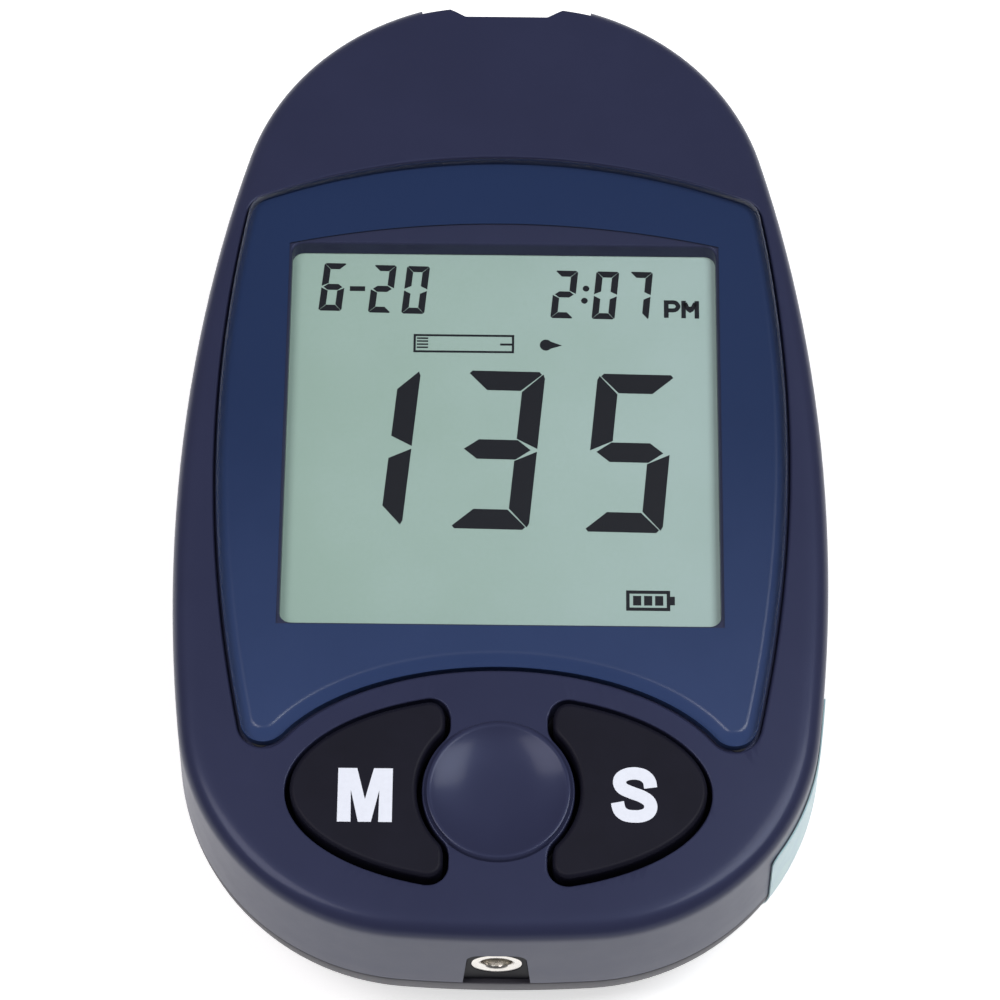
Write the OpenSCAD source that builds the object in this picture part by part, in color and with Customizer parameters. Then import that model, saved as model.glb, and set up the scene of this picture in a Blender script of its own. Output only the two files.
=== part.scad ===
// Blood glucose meter: a hand-held reader for test strips.
// It lies on its back: +Z comes out of the display, +Y points to the strip end, +X is right.
// The origin is at the middle of the back face.

/* [Case outline] */
// Length of the case, from data end to strip end
case_l = 92.2; // [89:0.1:97]
// Width of the case at its widest
case_w = 57.4; // [56:0.1:61]
// Radius of each long side
side_r = 144; // [130:1:170]
// How far the widest place lies from the middle, towards the data end
widest_back = 9.5; // [7:0.5:12]
// Radius of the strip end
strip_end_r = 38; // [35:0.5:44]
// Radius of the data end
data_end_r = 120; // [100:1:150]
// Radius of the two corners at the strip end
strip_corner_r = 23.5; // [21:0.5:26]
// Radius of the two corners at the data end
data_corner_r = 21; // [18.5:0.5:23.5]

/* [Case section] */
// Height of the seam between the two shells
seam_z = 9; // [8.6:0.1:10]
// Height of the face at its middle
face_z = 21; // [20.8:0.1:23]
// How far the face falls to the two sides
side_fall = 0.8; // [0.2:0.1:1]
// How far the face falls to the strip end
strip_end_fall = 1.3; // [0.4:0.1:1.6]
// How far the face falls to the data end
data_end_fall = 0.5; // [0.2:0.1:0.8]
// Radius of the rounded edge round the face
face_edge_r = 2; // [1.5:0.1:2.4]
// How far the side wall leans in between seam and face
wall_lean = 0.35; // [0.2:0.05:0.6]
// How far the back is rounded in from the outline
back_round = 7; // [6:0.5:8]
// Thickness of the shells' walls
wall_t = 1.8; // [1.5:0.1:2.1]
// Thickness of the front shell's face
roof_t = 2.2; // [1.9:0.1:2.3]

/* [Display lens] */
// Distance from the case's middle to the lens's upper edge
lens_reach = 27.7; // [27:0.1:28.6]
// Radius of the lens's upper edge
lens_top_r = 60; // [55:1:80]
// Width of the lens at its widest
lens_w = 49.7; // [48.6:0.1:50.4]
// Radius of the lens's sides
lens_side_r = 125; // [115:1:140]
// Radius of the lens's corners
lens_corner_r = 1.5; // [1:0.1:2]
// Land between the lens's lower edge and the key holes
lens_land = 2.4; // [2:0.1:2.6]
// Thickness of the lens
lens_t = 1.85; // [1.6:0.05:2]
// How far the lens stands proud of the face
lens_proud = 0.9; // [0.7:0.1:1.1]
// Width of the bevel round the lens
lens_bevel = 0.9; // [0.5:0.1:1.1]
// Gap round the lens
lens_gap = 0.25; // [0.15:0.05:0.35]
// Thickness of the adhesive frame under the lens
adhesive_t = 0.15; // [0.1:0.05:0.25]
// Least distance of the adhesive's opening from the lens's edge
adhesive_w = 2.6; // [1.8:0.1:2.8]

/* [Display] */
// Width of the display window
window_w = 37.9; // [36:0.1:38.6]
// Height of the display window
window_l = 36.9; // [35:0.1:38]
// Distance of the window's middle from the case's middle
window_y = 0.95; // [0.6:0.05:1.4]
// How far the clear part of the lens runs on above the window
window_brow = 1.9; // [1:0.1:2.2]
// Thickness of the case under the lens
window_floor_t = 1.2; // [1:0.1:1.3]
// Thickness of each display glass
glass_t = 1.1; // [0.7:0.1:1.1]
// How far the glass runs out past the window at its sides
glass_margin = 1.4; // [1:0.1:1.6]
// Width of the contact ledge at each end of the front glass
glass_ledge = 2.5; // [2.3:0.1:2.8]
// Thickness of the reflector behind the display
reflector_t = 0.15; // [0.1:0.05:0.3]
// Wall of the display frame
frame_wall = 1.2; // [0.9:0.1:1.3]
// Thickness of each rubber connector strip
zebra_t = 2; // [1.6:0.1:2.1]

/* [Keys and dish] */
// Distance of the dish's middle from the case's middle, towards the data end
keys_back = 33.1; // [32.7:0.1:33.5]
// Width of the oval that bounds the two keys
keys_w = 35.8; // [34:0.1:36.4]
// Height of the oval that bounds the two keys
keys_l = 17.5; // [16.6:0.1:18]
// Radius of the keys' hollow side, round the dish
keys_inner_r = 6.4; // [6.3:0.1:6.8]
// Half the width of the bridges above and below the dish
bridge_half = 4.1; // [3.6:0.1:4.6]
// Radius of the keys' tips
key_tip_r = 1.7; // [1.3:0.1:1.8]
// Gap between a key and its hole
key_gap = 0.45; // [0.35:0.05:0.55]
// Height of a pressed key's top over the face's middle
key_low = -0.3; // [-0.4:0.1:0.2]
// How far a key goes down
key_travel = 0.8; // [0.5:0.1:1]
// How far a key's flange reaches under the face
key_flange = 0.9; // [0.7:0.1:1.2]
// Thickness of that flange
key_flange_t = 0.8; // [0.6:0.1:1]
// Radius of the dish
dish_r = 5.7; // [5.2:0.1:5.9]
// Depth of the dish
dish_depth = 0.8; // [0.5:0.1:1]
// Width of the lip round the dish
dish_lip = 0.5; // [0.35:0.05:0.6]
// Height of the lip round the dish
dish_lip_h = 0.35; // [0.2:0.05:0.5]
// Thickness of the keypad mat
mat_t = 0.6; // [0.4:0.1:0.8]
// Outer radius of a dome at its foot
dome_r = 4.2; // [3.8:0.1:4.4]
// Outer radius of a dome at its top
dome_top_r = 3; // [2.6:0.1:3.2]
// Wall of a dome
dome_wall = 0.8; // [0.6:0.1:0.9]
// Length of the stem under each key
key_stem_h = 2.3; // [1.8:0.1:2.8]

/* [Board] */
// Thickness of the main board
board_t = 1.2; // [0.8:0.1:1.2]
// Gap between the seam and the board's underside
board_lift = 0.2; // [0.1:0.05:0.3]
// How far the board's edge lies inside the case's outline
board_inset = 3; // [2.9:0.1:3.6]
// Width of the microcontroller
chip_w = 12; // [8:1:14]
// Thickness of the microcontroller
chip_t = 1.4; // [1:0.1:1.6]
// Number of leads on each side of the microcontroller
chip_leads = 11; // [8:1:11]
// Width of the memory chip
memory_w = 5; // [4:0.5:6]
// Thickness of the memory chip
memory_t = 1.2; // [0.8:0.1:1.4]
// Distance of the memory chip's outer edge from the board's middle line
memory_x = 15; // [14:0.5:16]
// Distance of the memory chip from the case's middle, towards the data end
memory_back = 12; // [11:0.5:13]
// Length of the crystal's can
crystal_l = 7; // [5:0.5:8]
// Radius of the crystal's can
crystal_r = 1; // [0.7:0.1:1.4]
// Distance of the crystal from the board's middle line
crystal_x = 14; // [12:0.5:16]
// Distance of the crystal's upper end from the case's middle, towards the data end
crystal_back = 6; // [4:0.5:8]
// Number of capacitors in the row
capacitor_count = 6; // [3:1:8]
// Length of one capacitor
capacitor_l = 2; // [1.6:0.1:2.4]
// Width of one capacitor
capacitor_w = 1.2; // [0.8:0.1:1.4]
// Height of one capacitor
capacitor_h = 0.9; // [0.6:0.1:1.2]
// Distance from one capacitor to the next
capacitor_pitch = 3; // [2:0.1:3.2]
// Distance of the capacitors from the case's middle, towards the strip end
capacitors_y = 16; // [14:0.5:17]
// Diameter of the buzzer
buzzer_d = 12; // [9:0.5:14]
// Height of the buzzer
buzzer_h = 3.2; // [2:0.1:4]
// Distance of the buzzer from the board's middle line
buzzer_x = 8; // [6:0.5:10]
// Distance of the buzzer from the case's middle, towards the strip end
buzzer_y = 20; // [18:0.5:22]

/* [Strip port] */
// Width of a test strip's way in
strip_w = 6.2; // [5.5:0.1:6.4]
// Height of a test strip's way in
strip_h = 0.9; // [0.7:0.1:1.2]
// How deep a test strip goes into the connector
strip_depth = 8; // [6:0.5:9]
// Width of the strip port's bezel
bezel_w = 15.2; // [13.4:0.2:16]
// Gap round the bezel
bezel_gap = 0.2; // [0.1:0.05:0.3]
// Width of the flat in the notch of the strip end
notch_w = 7.6; // [6.8:0.1:8.2]
// How far the end is recessed over the strip port
port_recess = 1.45; // [1:0.05:1.6]
// How much deeper the notch in the recess is
notch_depth = 1.25; // [0.8:0.05:1.4]
// Width of the slope at each side of the notch
notch_slope = 1.4; // [1:0.1:1.8]
// Height of the recess's floor over the seam
port_floor = 6.2; // [5.9:0.1:7]
// Width of the strip connector
connector_w = 12.6; // [11:0.1:13]
// Length of the strip connector
connector_l = 11; // [10:0.1:11.5]
// Height of the strip connector
connector_h = 5.5; // [4.8:0.1:5.8]
// Number of contacts that touch the strip
contact_count = 5; // [3:1:5]
// Width of one contact
contact_w = 0.5; // [0.3:0.05:0.6]

/* [Data jack] */
// Diameter of the plug that the jack takes
plug_d = 2.5; // [2:0.1:2.6]
// Room round the plug, on the radius
plug_room = 0.06; // [0.05:0.01:0.15]
// Depth of the jack's bore
jack_depth = 10; // [8:0.5:10.5]
// Outer diameter of the jack's metal sleeve
sleeve_d = 4.35; // [3.8:0.05:4.5]
// Length of the sleeve
sleeve_l = 1.5; // [1:0.1:1.6]
// Width of the jack's notch at the seam
jack_notch_w = 5.85; // [5.5:0.05:6.4]
// How far each side of the notch leans in to its top
jack_notch_lean = 0.4; // [0.2:0.05:0.45]
// How deep the jack's face lies in the wall
jack_recess = 0.45; // [0.3:0.05:0.8]
// Height of the jack's body
jack_h = 5.2; // [5.1:0.1:5.4]
// Width of the jack's body on the board
jack_w = 5.8; // [5.2:0.1:6.2]

/* [Battery] */
// Diameter of the coin cell
cell_d = 20; // [18:0.5:20]
// Thickness of the coin cell
cell_t = 3.2; // [1.6:0.1:3.2]
// Distance of the cell's edge from the data end
cell_end_room = 10.5; // [10:0.1:11]
// Gap round the cell
cell_gap = 0.35; // [0.2:0.05:0.5]
// Room for the spring above the cell
spring_room = 1.3; // [1:0.1:1.4]
// Width of the battery door
door_w = 31; // [29.5:0.1:32]
// How far the door reaches past the cell
door_reach = 3.5; // [3:0.1:5]
// Thickness of the door's outer plate
door_t = 0.9; // [0.7:0.1:1]
// Thickness of the ledge that holds the door's rails
door_ledge_t = 0.8; // [0.6:0.1:0.9]
// Width of that ledge
door_ledge_w = 2; // [1.6:0.1:2.4]
// Thickness of the door's rails
rail_t = 0.7; // [0.5:0.1:0.8]
// Gap between the door and what it slides in
door_gap = 0.15; // [0.1:0.05:0.25]

/* [Code chip] */
// Width of the code chip
code_w = 10.8; // [9:0.1:11.5]
// Thickness of the code chip
code_t = 2.6; // [2:0.1:2.8]
// Gap between the code chip and its slot
code_gap = 0.2; // [0.15:0.05:0.3]
// Distance of the code chip's middle from the case's middle, towards the strip end
code_y = 10; // [6:0.5:14]
// How deep the code chip goes into its socket
code_depth = 6.5; // [5:0.5:7.5]
// Gap between the wall and the socket
code_reach = 8.2; // [7.5:0.1:9]

/* [Fasteners and labels] */
// Radius of a case screw's shank
screw_r = 1; // [0.8:0.05:1.1]
// Radius of a case screw's head
screw_head_r = 1.9; // [1.7:0.05:2]
// Height of a case screw's head
screw_head_h = 1.4; // [1:0.1:1.6]
// Depth of a case screw in its boss
screw_bite = 4.5; // [3:0.5:5]
// Radius of a board screw's shank
board_screw_r = 0.8; // [0.6:0.05:0.9]
// Radius of a board screw's head
board_screw_head_r = 1.5; // [1.3:0.05:1.6]
// Wall of a boss round its screw
boss_wall = 1.4; // [1.1:0.1:1.5]
// Thickness of a label
label_t = 0.12; // [0.08:0.02:0.2]
// Height of the seal label's upper edge
seal_top_z = 16.6; // [14:0.1:17]
// How far the seal label reaches down the back's rounding, in steps
seal_steps = 2; // [1:1:3]
// Width of the back label
back_label_w = 30; // [24:1:32]
// Length of the back label
back_label_l = 24; // [18:1:28]

/* [Hidden] */
$fn = 48;

cut = 1;               // how far a cutter runs past what it cuts
slip = 0.05;           // gap between pieces that only just don't touch
half_w = case_w / 2;
half_l = case_l / 2;

// ---- Outline of the case: four long arcs joined by four corner arcs ----
side_c = [half_w - side_r, -widest_back];
strip_end_c = [0, half_l - strip_end_r];
data_end_c = [0, data_end_r - half_l];

// One meeting point of two circles, on the left (1) or right (-1) of the way from a to b.
function meet(a, ra, b, rb, hand) =
    let (d = norm(b - a), u = (b - a) / d, along = (ra * ra - rb * rb + d * d) / (2 * d))
    a + along * u + hand * sqrt(ra * ra - along * along) * [-u[1], u[0]];
function heading(a, b) = atan2(b[1] - a[1], b[0] - a[0]);
// Points of an arc, without its last one.
function arc(c, r, from, to, n) = [for (i = [0:n - 1]) let (a = from + (to - from) * i / n)
    c + r * [cos(a), sin(a)]];
function mirrored(points) = [for (i = [len(points) - 1:-1:0]) [-points[i][0], points[i][1]]];

// The largest corner radius that an end at this distance from the widest place has room for.
function end_room(reach) = (square_of(side_r) - square_of(side_r - half_w) - square_of(reach))
    / (2 * (side_r - reach));
strip_round = min(strip_corner_r, end_room(half_l + widest_back) - 0.2);
data_round = min(data_corner_r, end_room(half_l - widest_back) - 0.2);
strip_corner_c = meet(side_c, side_r - strip_round, strip_end_c, strip_end_r - strip_round, 1);
data_corner_c = meet(side_c, side_r - data_round, data_end_c, data_end_r - data_round, -1);
data_turn = heading(data_end_c, data_corner_c);
data_side_turn = heading(side_c, data_corner_c);
strip_side_turn = heading(side_c, strip_corner_c);
strip_turn = heading(strip_end_c, strip_corner_c);

// The case's outline, moved in by inset, anticlockwise from the middle of the data end.
function half_ring(inset) = concat(
    arc(data_end_c, data_end_r - inset, -90, data_turn, 4),
    arc(data_corner_c, data_round - inset, data_turn, data_side_turn, 9),
    arc(side_c, side_r - inset, data_side_turn, 0, 3),
    arc(side_c, side_r - inset, 0, strip_side_turn, 5),
    arc(strip_corner_c, strip_round - inset, strip_side_turn, strip_turn, 8),
    arc(strip_end_c, strip_end_r - inset, strip_turn, 90, 2));
function ring(inset) =
    let (right = half_ring(inset), left = mirrored([for (i = [1:len(right) - 1]) right[i]]))
    concat(right, [[0, half_l - inset]], left);
module outline(inset) polygon(ring(inset));

// ---- The face: how far it falls at a place, and its height there ----
strip_fall_from = 15;  // the fall to the strip end starts here
data_fall_from = 20;   // and the fall to the data end here
function square_of(v) = v * v;
function fall(p) = side_fall * square_of(p[0] / half_w)
    + strip_end_fall * square_of(max(0, p[1] - strip_fall_from) / (half_l - strip_fall_from))
    + data_end_fall * square_of(max(0, -p[1] - data_fall_from) / (half_l - data_fall_from));
function face_at(x, y) = face_z - fall([x, y]);
// A wall's points, which take up more of the fall the nearer they are to the top.
function lifted(points, z, top) = [for (p = points)
    [p[0], p[1], z - fall(p) * min(1, max(0, (z - seam_z) / (top - seam_z)))]];
function shrunk(points, k) = [for (p = points) [p[0] * k, p[1] * k]];
function level(points, z) = [for (p = points) [p[0], p[1], z]];

// A closed solid through rings of points. With a peak it closes in a fan there, and else flat.
module loft(rings, peak) {
    n = len(rings[0]);
    rows = len(rings);
    points = concat([for (r = rings) each r], is_undef(peak) ? [] : [peak]);
    wall = [for (row = [0:rows - 2], i = [0:n - 1])
        let (a = row * n + i, b = row * n + (i + 1) % n)
        each [[a + n, b + n, b], [a + n, b, a]]];
    last = (rows - 1) * n;
    top = is_undef(peak)
        ? [[for (i = [n - 1:-1:0]) last + i]]
        : [for (i = [0:n - 1]) [last + (i + 1) % n, last + i, rows * n]];
    polyhedron(points, concat([[for (i = [0:n - 1]) i]], wall, top), convexity = 6);
}

edge_z = face_z - face_edge_r;
module front_solid() {
    top_ring = ring(wall_lean + face_edge_r);
    rings = concat(
        [for (k = [0:0.5:1]) lifted(ring(wall_lean * k), seam_z + (edge_z - seam_z) * k, face_z)],
        [for (a = [18:18:90])
            lifted(ring(wall_lean + face_edge_r * (1 - cos(a))), edge_z + face_edge_r * sin(a), face_z)],
        [for (k = [0.75, 0.5, 0.25]) lifted(shrunk(top_ring, k), face_z, face_z)]);
    loft(rings, [0, 0, face_z]);
}
roof_z = face_z - roof_t;
inner_edge_r = 0.8;    // rounding inside the front shell
module front_void() {
    inset = wall_t + wall_lean;
    top_ring = ring(inset + inner_edge_r);
    rings = concat(
        [level(ring(wall_t), seam_z - cut)],
        [lifted(ring(wall_t), seam_z, roof_z)],
        [for (a = [0:45:90])
            lifted(ring(inset + inner_edge_r * (1 - cos(a))), roof_z - inner_edge_r * (1 - sin(a)), roof_z)],
        [for (k = [0.7, 0.35]) lifted(shrunk(top_ring, k), roof_z, roof_z)]);
    loft(rings, [0, 0, roof_z]);
}
// Inset of the back shell's outer wall at height z: a quarter of an ellipse.
function back_inset(z) = back_round * (1 - sqrt(1 - square_of((seam_z - z) / seam_z)));
back_turn = 15;        // the back's rounding is cut into steps of this angle
module back_solid() {
    loft([for (a = [90:-back_turn:0]) level(ring(back_round * (1 - cos(a))), seam_z * (1 - sin(a)))]);
}
module back_void() {
    deep = seam_z - wall_t;
    rings = [for (a = [90:-22.5:0]) level(ring(wall_t + back_round * (1 - cos(a))), seam_z - deep * sin(a))];
    loft(concat(rings, [level(ring(wall_t), seam_z + cut)]));
}

// ---- Heights ----
lens_top_z = face_z + lens_proud;
lens_low_z = lens_top_z - lens_t;
lens_seat_z = lens_low_z - adhesive_t;
lcd_seat_z = lens_seat_z - window_floor_t;
glass_top_z = lcd_seat_z - 2 * slip;
rear_glass_z = glass_top_z - 2 * glass_t;
board_z = seam_z + board_lift;
board_top_z = board_z + board_t;

// ---- Display ----
window_low_y = window_y - window_l / 2;
glass_w = window_w + 2 * glass_margin;
rear_glass_l = window_l + 1;
glass_l = rear_glass_l + 2 * glass_ledge;
frame_w = glass_w + 2 * (frame_wall + slip);
frame_l = glass_l + 2 * (frame_wall + slip);
frame_shelf_w = 1;     // the shelf that each side of the display rests on
frame_room = 0.4;      // room between the frame and the pocket in the case

// ---- Keys ----
function oval(w, l) = [for (a = [0:5:355]) [w / 2 * cos(a), -keys_back + l / 2 * sin(a)]];
key_x = (bridge_half + keys_w / 2) / 2;
flange_top_z = face_at(keys_w / 2 + key_flange, -keys_back - keys_l / 2) - roof_t - 0.1;
flange_z = flange_top_z - key_flange_t;
stem_z = flange_z - key_stem_h;
pad_r = 2.2;           // contact pads on the board under the domes
pad_t = 0.08;
key_top_z = face_z + key_low + key_travel;
mat_top_z = board_top_z + mat_t;

// ---- Battery and door ----
cell_back = half_l - cell_end_room - cell_d / 2;
cell_c = [0, -cell_back];
spring_foot = 6;       // how far behind the cell's middle the spring stands on the board
cell_step = 1.2;       // the step round the cell's top
cell_step_h = 0.6;
spring_w = 3;
clip_w = 3;
door_ledge_z = door_t + door_gap;
door_rail_z = door_ledge_z + door_ledge_t + door_gap;
door_top_z = door_rail_z + rail_t;
cell_z = door_top_z + 2 * door_gap;
bay_roof_z = cell_z + cell_t + spring_room;
bay_roof_t = 0.8;
bay_wall = 1.1;
bay_r = cell_d / 2 + cell_gap;
door_inner_w = door_w - 2 * door_ledge_w;
door_flat_y = back_round + door_ledge_w - half_l;  // the ledges stop here, at the foot of the round end
door_end_z = 6.2;      // height of the door's lip on the data end
door_edge_y = -cell_back + cell_d / 2 + door_reach;

// ---- Data jack ----
jack_bore_r = plug_d / 2 + plug_room;
jack_z = board_top_z + jack_h / 2;
jack_face_y = jack_recess - half_l;
jack_block_y = board_inset - half_l - 0.2;  // the board's edge clears the block in front of it
jack_end_y = jack_face_y + jack_depth + 1.2;

// ---- Strip port ----
strip_z = board_top_z + connector_h / 2 + 0.2;
notch_y = half_l - port_recess - notch_depth;
port_floor_z = seam_z + port_floor;
mouth_l = 2;
bezel_back_y = notch_y - 1.1;
bezel_top_z = seam_z + 8;
connector_y = bezel_back_y - slip - connector_l;
contact_pitch = (strip_w - 2 * contact_w) / contact_count;

// ---- Code chip ----
code_top_z = seam_z - 1;
code_low_z = code_top_z - code_t;
code_mid_z = code_top_z - code_t / 2;
case_side_x = side_c[0] + sqrt(square_of(side_r) - square_of(code_y + widest_back));
socket_x = -(case_side_x - code_reach);
code_end_x = socket_x + code_depth;
socket_wall = 0.9;

// ---- Fasteners ----
boss_r = screw_r + boss_wall;
column_r = screw_head_r + 1;
screw_seat_z = 4.2;
boss_room = 0.4;       // gap between a boss and the board round it
boss_edge = board_inset + boss_r + 2 * boss_room + 0.4;  // from the outline to a boss's middle
strip_boss = strip_corner_c + (strip_round - boss_edge) * [cos(32), sin(32)];
data_boss = data_corner_c + (data_round - boss_edge) * [cos(15), -sin(15)];
bosses = [for (b = [strip_boss, data_boss], side = [1, -1]) [side * b[0], b[1]]];
post_r = board_screw_r + boss_wall - 0.3;
post_side_y = window_y + frame_l / 2 + frame_room + post_r + 3;
post_mid_y = window_y - frame_l / 2 - frame_room - post_r - 0.1;
posts = [[-9, post_side_y], [9, post_side_y], [0, post_mid_y]];
board_screw_head_h = 0.7;
board_screw_bite = 3.5;
thread_gap = 0.03;     // the threads aren't cut, so a screw just clears its hole

module at(places) for (p = places) translate([p[0], p[1], 0]) children();
module block(low, high) translate(low) cube(high - low);
module rod(r, low, high) translate([0, 0, low]) cylinder(r = r, h = high - low);
module rounded(w, l, r) {
    square([w - 2 * r, l], center = true);
    square([w, l - 2 * r], center = true);
    for (x = [-1, 1], y = [-1, 1]) translate([x * (w / 2 - r), y * (l / 2 - r)]) circle(r = r);
}

// ---- Flat shapes ----
// The lens's outline: an arched top, bowed sides, and a hollow lower edge round the keys.
module lens_shape(grow = 0) {
    offset(delta = grow) offset(r = lens_corner_r) offset(delta = -lens_corner_r) difference() {
        intersection() {
            translate([0, lens_reach - lens_top_r]) circle(r = lens_top_r, $fn = 180);
            translate([lens_w / 2 - lens_side_r, 0]) circle(r = lens_side_r, $fn = 360);
            translate([lens_side_r - lens_w / 2, 0]) circle(r = lens_side_r, $fn = 360);
            translate([-lens_w, -keys_back]) square([2 * lens_w, keys_back + lens_reach]);
        }
        polygon(oval(keys_w + 2 * lens_land, keys_l + 2 * lens_land));
    }
}
// A key hole: the oval's end, hollowed by the dish's ring, with round tips. side is 1 or -1.
module key_shape(side, grow = 0) {
    offset(delta = grow) offset(r = key_tip_r, $fn = 24) offset(delta = -key_tip_r) difference() {
        polygon(oval(keys_w, keys_l));
        translate([0, -keys_back]) circle(r = keys_inner_r);
        translate([side > 0 ? bridge_half - keys_w : -bridge_half, -keys_back - keys_l])
            square([keys_w, 2 * keys_l]);
    }
}
// The jack's notch, drawn in X and Z.
module jack_notch(shrink) {
    half = jack_notch_w / 2 - shrink;
    top = jack_z + jack_h / 2 + 0.1 - shrink;
    low = seam_z + shrink;
    soft = 1.2;
    polygon(concat([[half, low]], [for (a = [0:30:90])
        [half - jack_notch_lean - soft * (1 - cos(a)), top - soft * (1 - sin(a))]],
        [for (a = [90:-30:0]) [-(half - jack_notch_lean - soft * (1 - cos(a))), top - soft * (1 - sin(a))]],
        [[-half, low]]));
}
module along_y(low, high) translate([0, high, 0]) rotate([90, 0, 0]) linear_extrude(high - low) children();
// What the strip end loses over the port so that a strip can be laid in: a shallow recess with a notch.
module strip_notch() translate([0, 0, port_floor_z]) linear_extrude(face_z) {
    wide = notch_w / 2 + notch_slope;
    rise = notch_depth - square_of(wide) / (2 * strip_end_r);
    polygon([[-wide, half_l + cut], [-wide, notch_y + rise], [-notch_w / 2, notch_y],
        [notch_w / 2, notch_y], [wide, notch_y + rise], [wide, half_l + cut]]);
    difference() {
        translate([0, half_l]) square([bezel_w + 2 * bezel_gap, 2 * bezel_w / 3], center = true);
        outline(port_recess);
    }
}

// ---- Case ----
module front_case() color([0.2, 0.21, 0.3]) difference() {
    union() {
        difference() {
            front_solid();
            front_void();
            block([-frame_w / 2 - frame_room, window_y - frame_l / 2 - frame_room, seam_z],
                [frame_w / 2 + frame_room, window_y + frame_l / 2 + frame_room, lcd_seat_z]);
        }
        intersection() {
            front_solid();
            block([-bezel_w / 2 - bezel_gap - 0.6, bezel_back_y, bezel_top_z + bezel_gap],
                [bezel_w / 2 + bezel_gap + 0.6, half_l, roof_z + 0.5]);
        }
        for (b = bosses) translate([b[0], b[1], 0]) rod(boss_r, seam_z, face_at(b[0], b[1]) - 1);
        for (p = posts) translate([p[0], p[1], 0]) rod(post_r, board_top_z, face_at(p[0], p[1]) - 1.2);
        translate([0, -keys_back, 0])
            rod(dish_r + dish_lip, face_at(0, -keys_back) - 1, face_at(0, -keys_back) + dish_lip_h);
    }
    translate([0, 0, lens_seat_z]) linear_extrude(face_z) lens_shape(lens_gap);
    translate([0, window_y, seam_z]) linear_extrude(face_z) rounded(window_w, window_l, 1);
    for (side = [-1, 1]) translate([0, 0, seam_z]) linear_extrude(face_z) key_shape(side);
    dish_hollow();
    along_y(-half_l - cut, wall_t + cut - half_l) jack_notch(0);
    block([-bezel_w / 2 - bezel_gap, bezel_back_y, seam_z - cut],
        [bezel_w / 2 + bezel_gap, half_l + cut, bezel_top_z + bezel_gap]);
    strip_notch();
    at(bosses) rod(screw_r + thread_gap, seam_z - cut, seam_z + screw_bite + 1);
    at(posts) rod(board_screw_r + thread_gap, board_top_z - cut, board_top_z + board_screw_bite + 0.5);
}
module dish_hollow() {
    top = face_at(0, -keys_back) + dish_lip_h;
    ball_r = (square_of(dish_r) + square_of(dish_depth)) / (2 * dish_depth);
    translate([0, -keys_back, top - dish_depth + ball_r]) sphere(r = ball_r, $fn = 64);
}
module back_case() color([0.17, 0.17, 0.22]) difference() {
    union() {
        difference() {
            back_solid();
            back_void();
        }
        intersection() {
            back_solid();
            union() {
                at(bosses) rod(column_r, 0, seam_z);
                block([-door_w / 2 - bay_wall, -half_l, door_ledge_z],
                    [door_w / 2 + bay_wall, door_edge_y + bay_wall, cell_z + bay_wall]);
                block([-door_w / 2 - bay_wall, -half_l, door_ledge_z],
                    [door_w / 2 + bay_wall, door_flat_y + bay_wall, door_end_z + door_gap + bay_wall]);
                translate(cell_c) rod(bay_r + bay_wall, door_ledge_z, bay_roof_z + bay_roof_t);
            }
        }
    }
    at(bosses) rod(screw_r + 0.15, -cut, seam_z + cut);
    at(bosses) rod(screw_head_r + 0.2, -cut, screw_seat_z);
    door_space();
    translate(cell_c) rod(bay_r, 0, bay_roof_z);
    block([-spring_w / 2 - 0.5, -cell_back - spring_foot - 1, cell_z + cell_t],
        [spring_w / 2 + 0.5, -cell_back + 2.5, seam_z + cut]);
    block([bay_r - 1, -cell_back - clip_w / 2 - 0.5, cell_z],
        [bay_r + 0.6, -cell_back + clip_w / 2 + 0.5, seam_z + cut]);
    block([-half_w - cut, code_y - code_w / 2 - code_gap, code_top_z - code_t - code_gap],
        [wall_t + 2 - half_w * 0.9, code_y + code_w / 2 + code_gap, code_top_z + code_gap]);
    translate([0, back_label_y, -cut]) linear_extrude(cut + label_t + slip)
        rounded(back_label_w + 0.3, back_label_l + 0.3, 1.65);
}
// The room that the door slides in: a wide slot outside, a narrow one inside, wide rails above.
module door_space() {
    far = -half_l - cut;
    back = door_edge_y + door_gap;
    block([-door_w / 2 - door_gap, far, -cut], [door_w / 2 + door_gap, back, door_ledge_z]);
    block([-door_inner_w / 2 - door_gap, far, -cut],
        [door_inner_w / 2 + door_gap, back, door_top_z + door_gap]);
    block([-door_w / 2 - door_gap, far, door_rail_z - door_gap],
        [door_w / 2 + door_gap, back, door_top_z + door_gap]);
    block([-door_w / 2 - door_gap, far, -cut], [door_w / 2 + door_gap, door_flat_y, door_end_z + door_gap]);
}
module battery_door() color([0.17, 0.17, 0.22]) difference() {
    intersection() {
        back_solid();
        union() {
            block([-door_w / 2, -half_l, 0], [door_w / 2, door_edge_y, door_t]);
            block([-door_inner_w / 2, door_flat_y - 1, 0], [door_inner_w / 2, door_edge_y, door_top_z]);
            block([-door_w / 2 + door_gap, door_flat_y - 1, door_rail_z],
                [door_w / 2 - door_gap, door_edge_y, door_top_z]);
            block([-door_w / 2, -half_l, 0], [door_w / 2, door_flat_y - 1, door_end_z]);
        }
    }
    // The lip on the data end is a shell, and the thumb grooves lie across the flat.
    intersection() {
        back_void();
        block([-door_w / 2 + wall_t, -half_l, wall_t], [door_w / 2 - wall_t, door_flat_y - 2.2, seam_z]);
    }
    for (i = [0:3]) translate([0, door_flat_y + 4 + 2 * i, 0]) rotate([0, 90, 0])
        cylinder(r = 0.45, h = door_inner_w * 0.5, center = true);
}
back_label_y = (strip_boss[1] + door_edge_y) / 2 + 1;
module back_label() color([0.8, 0.82, 0.84])
    translate([0, back_label_y, slip]) linear_extrude(label_t) rounded(back_label_w, back_label_l, 1.5);

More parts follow.
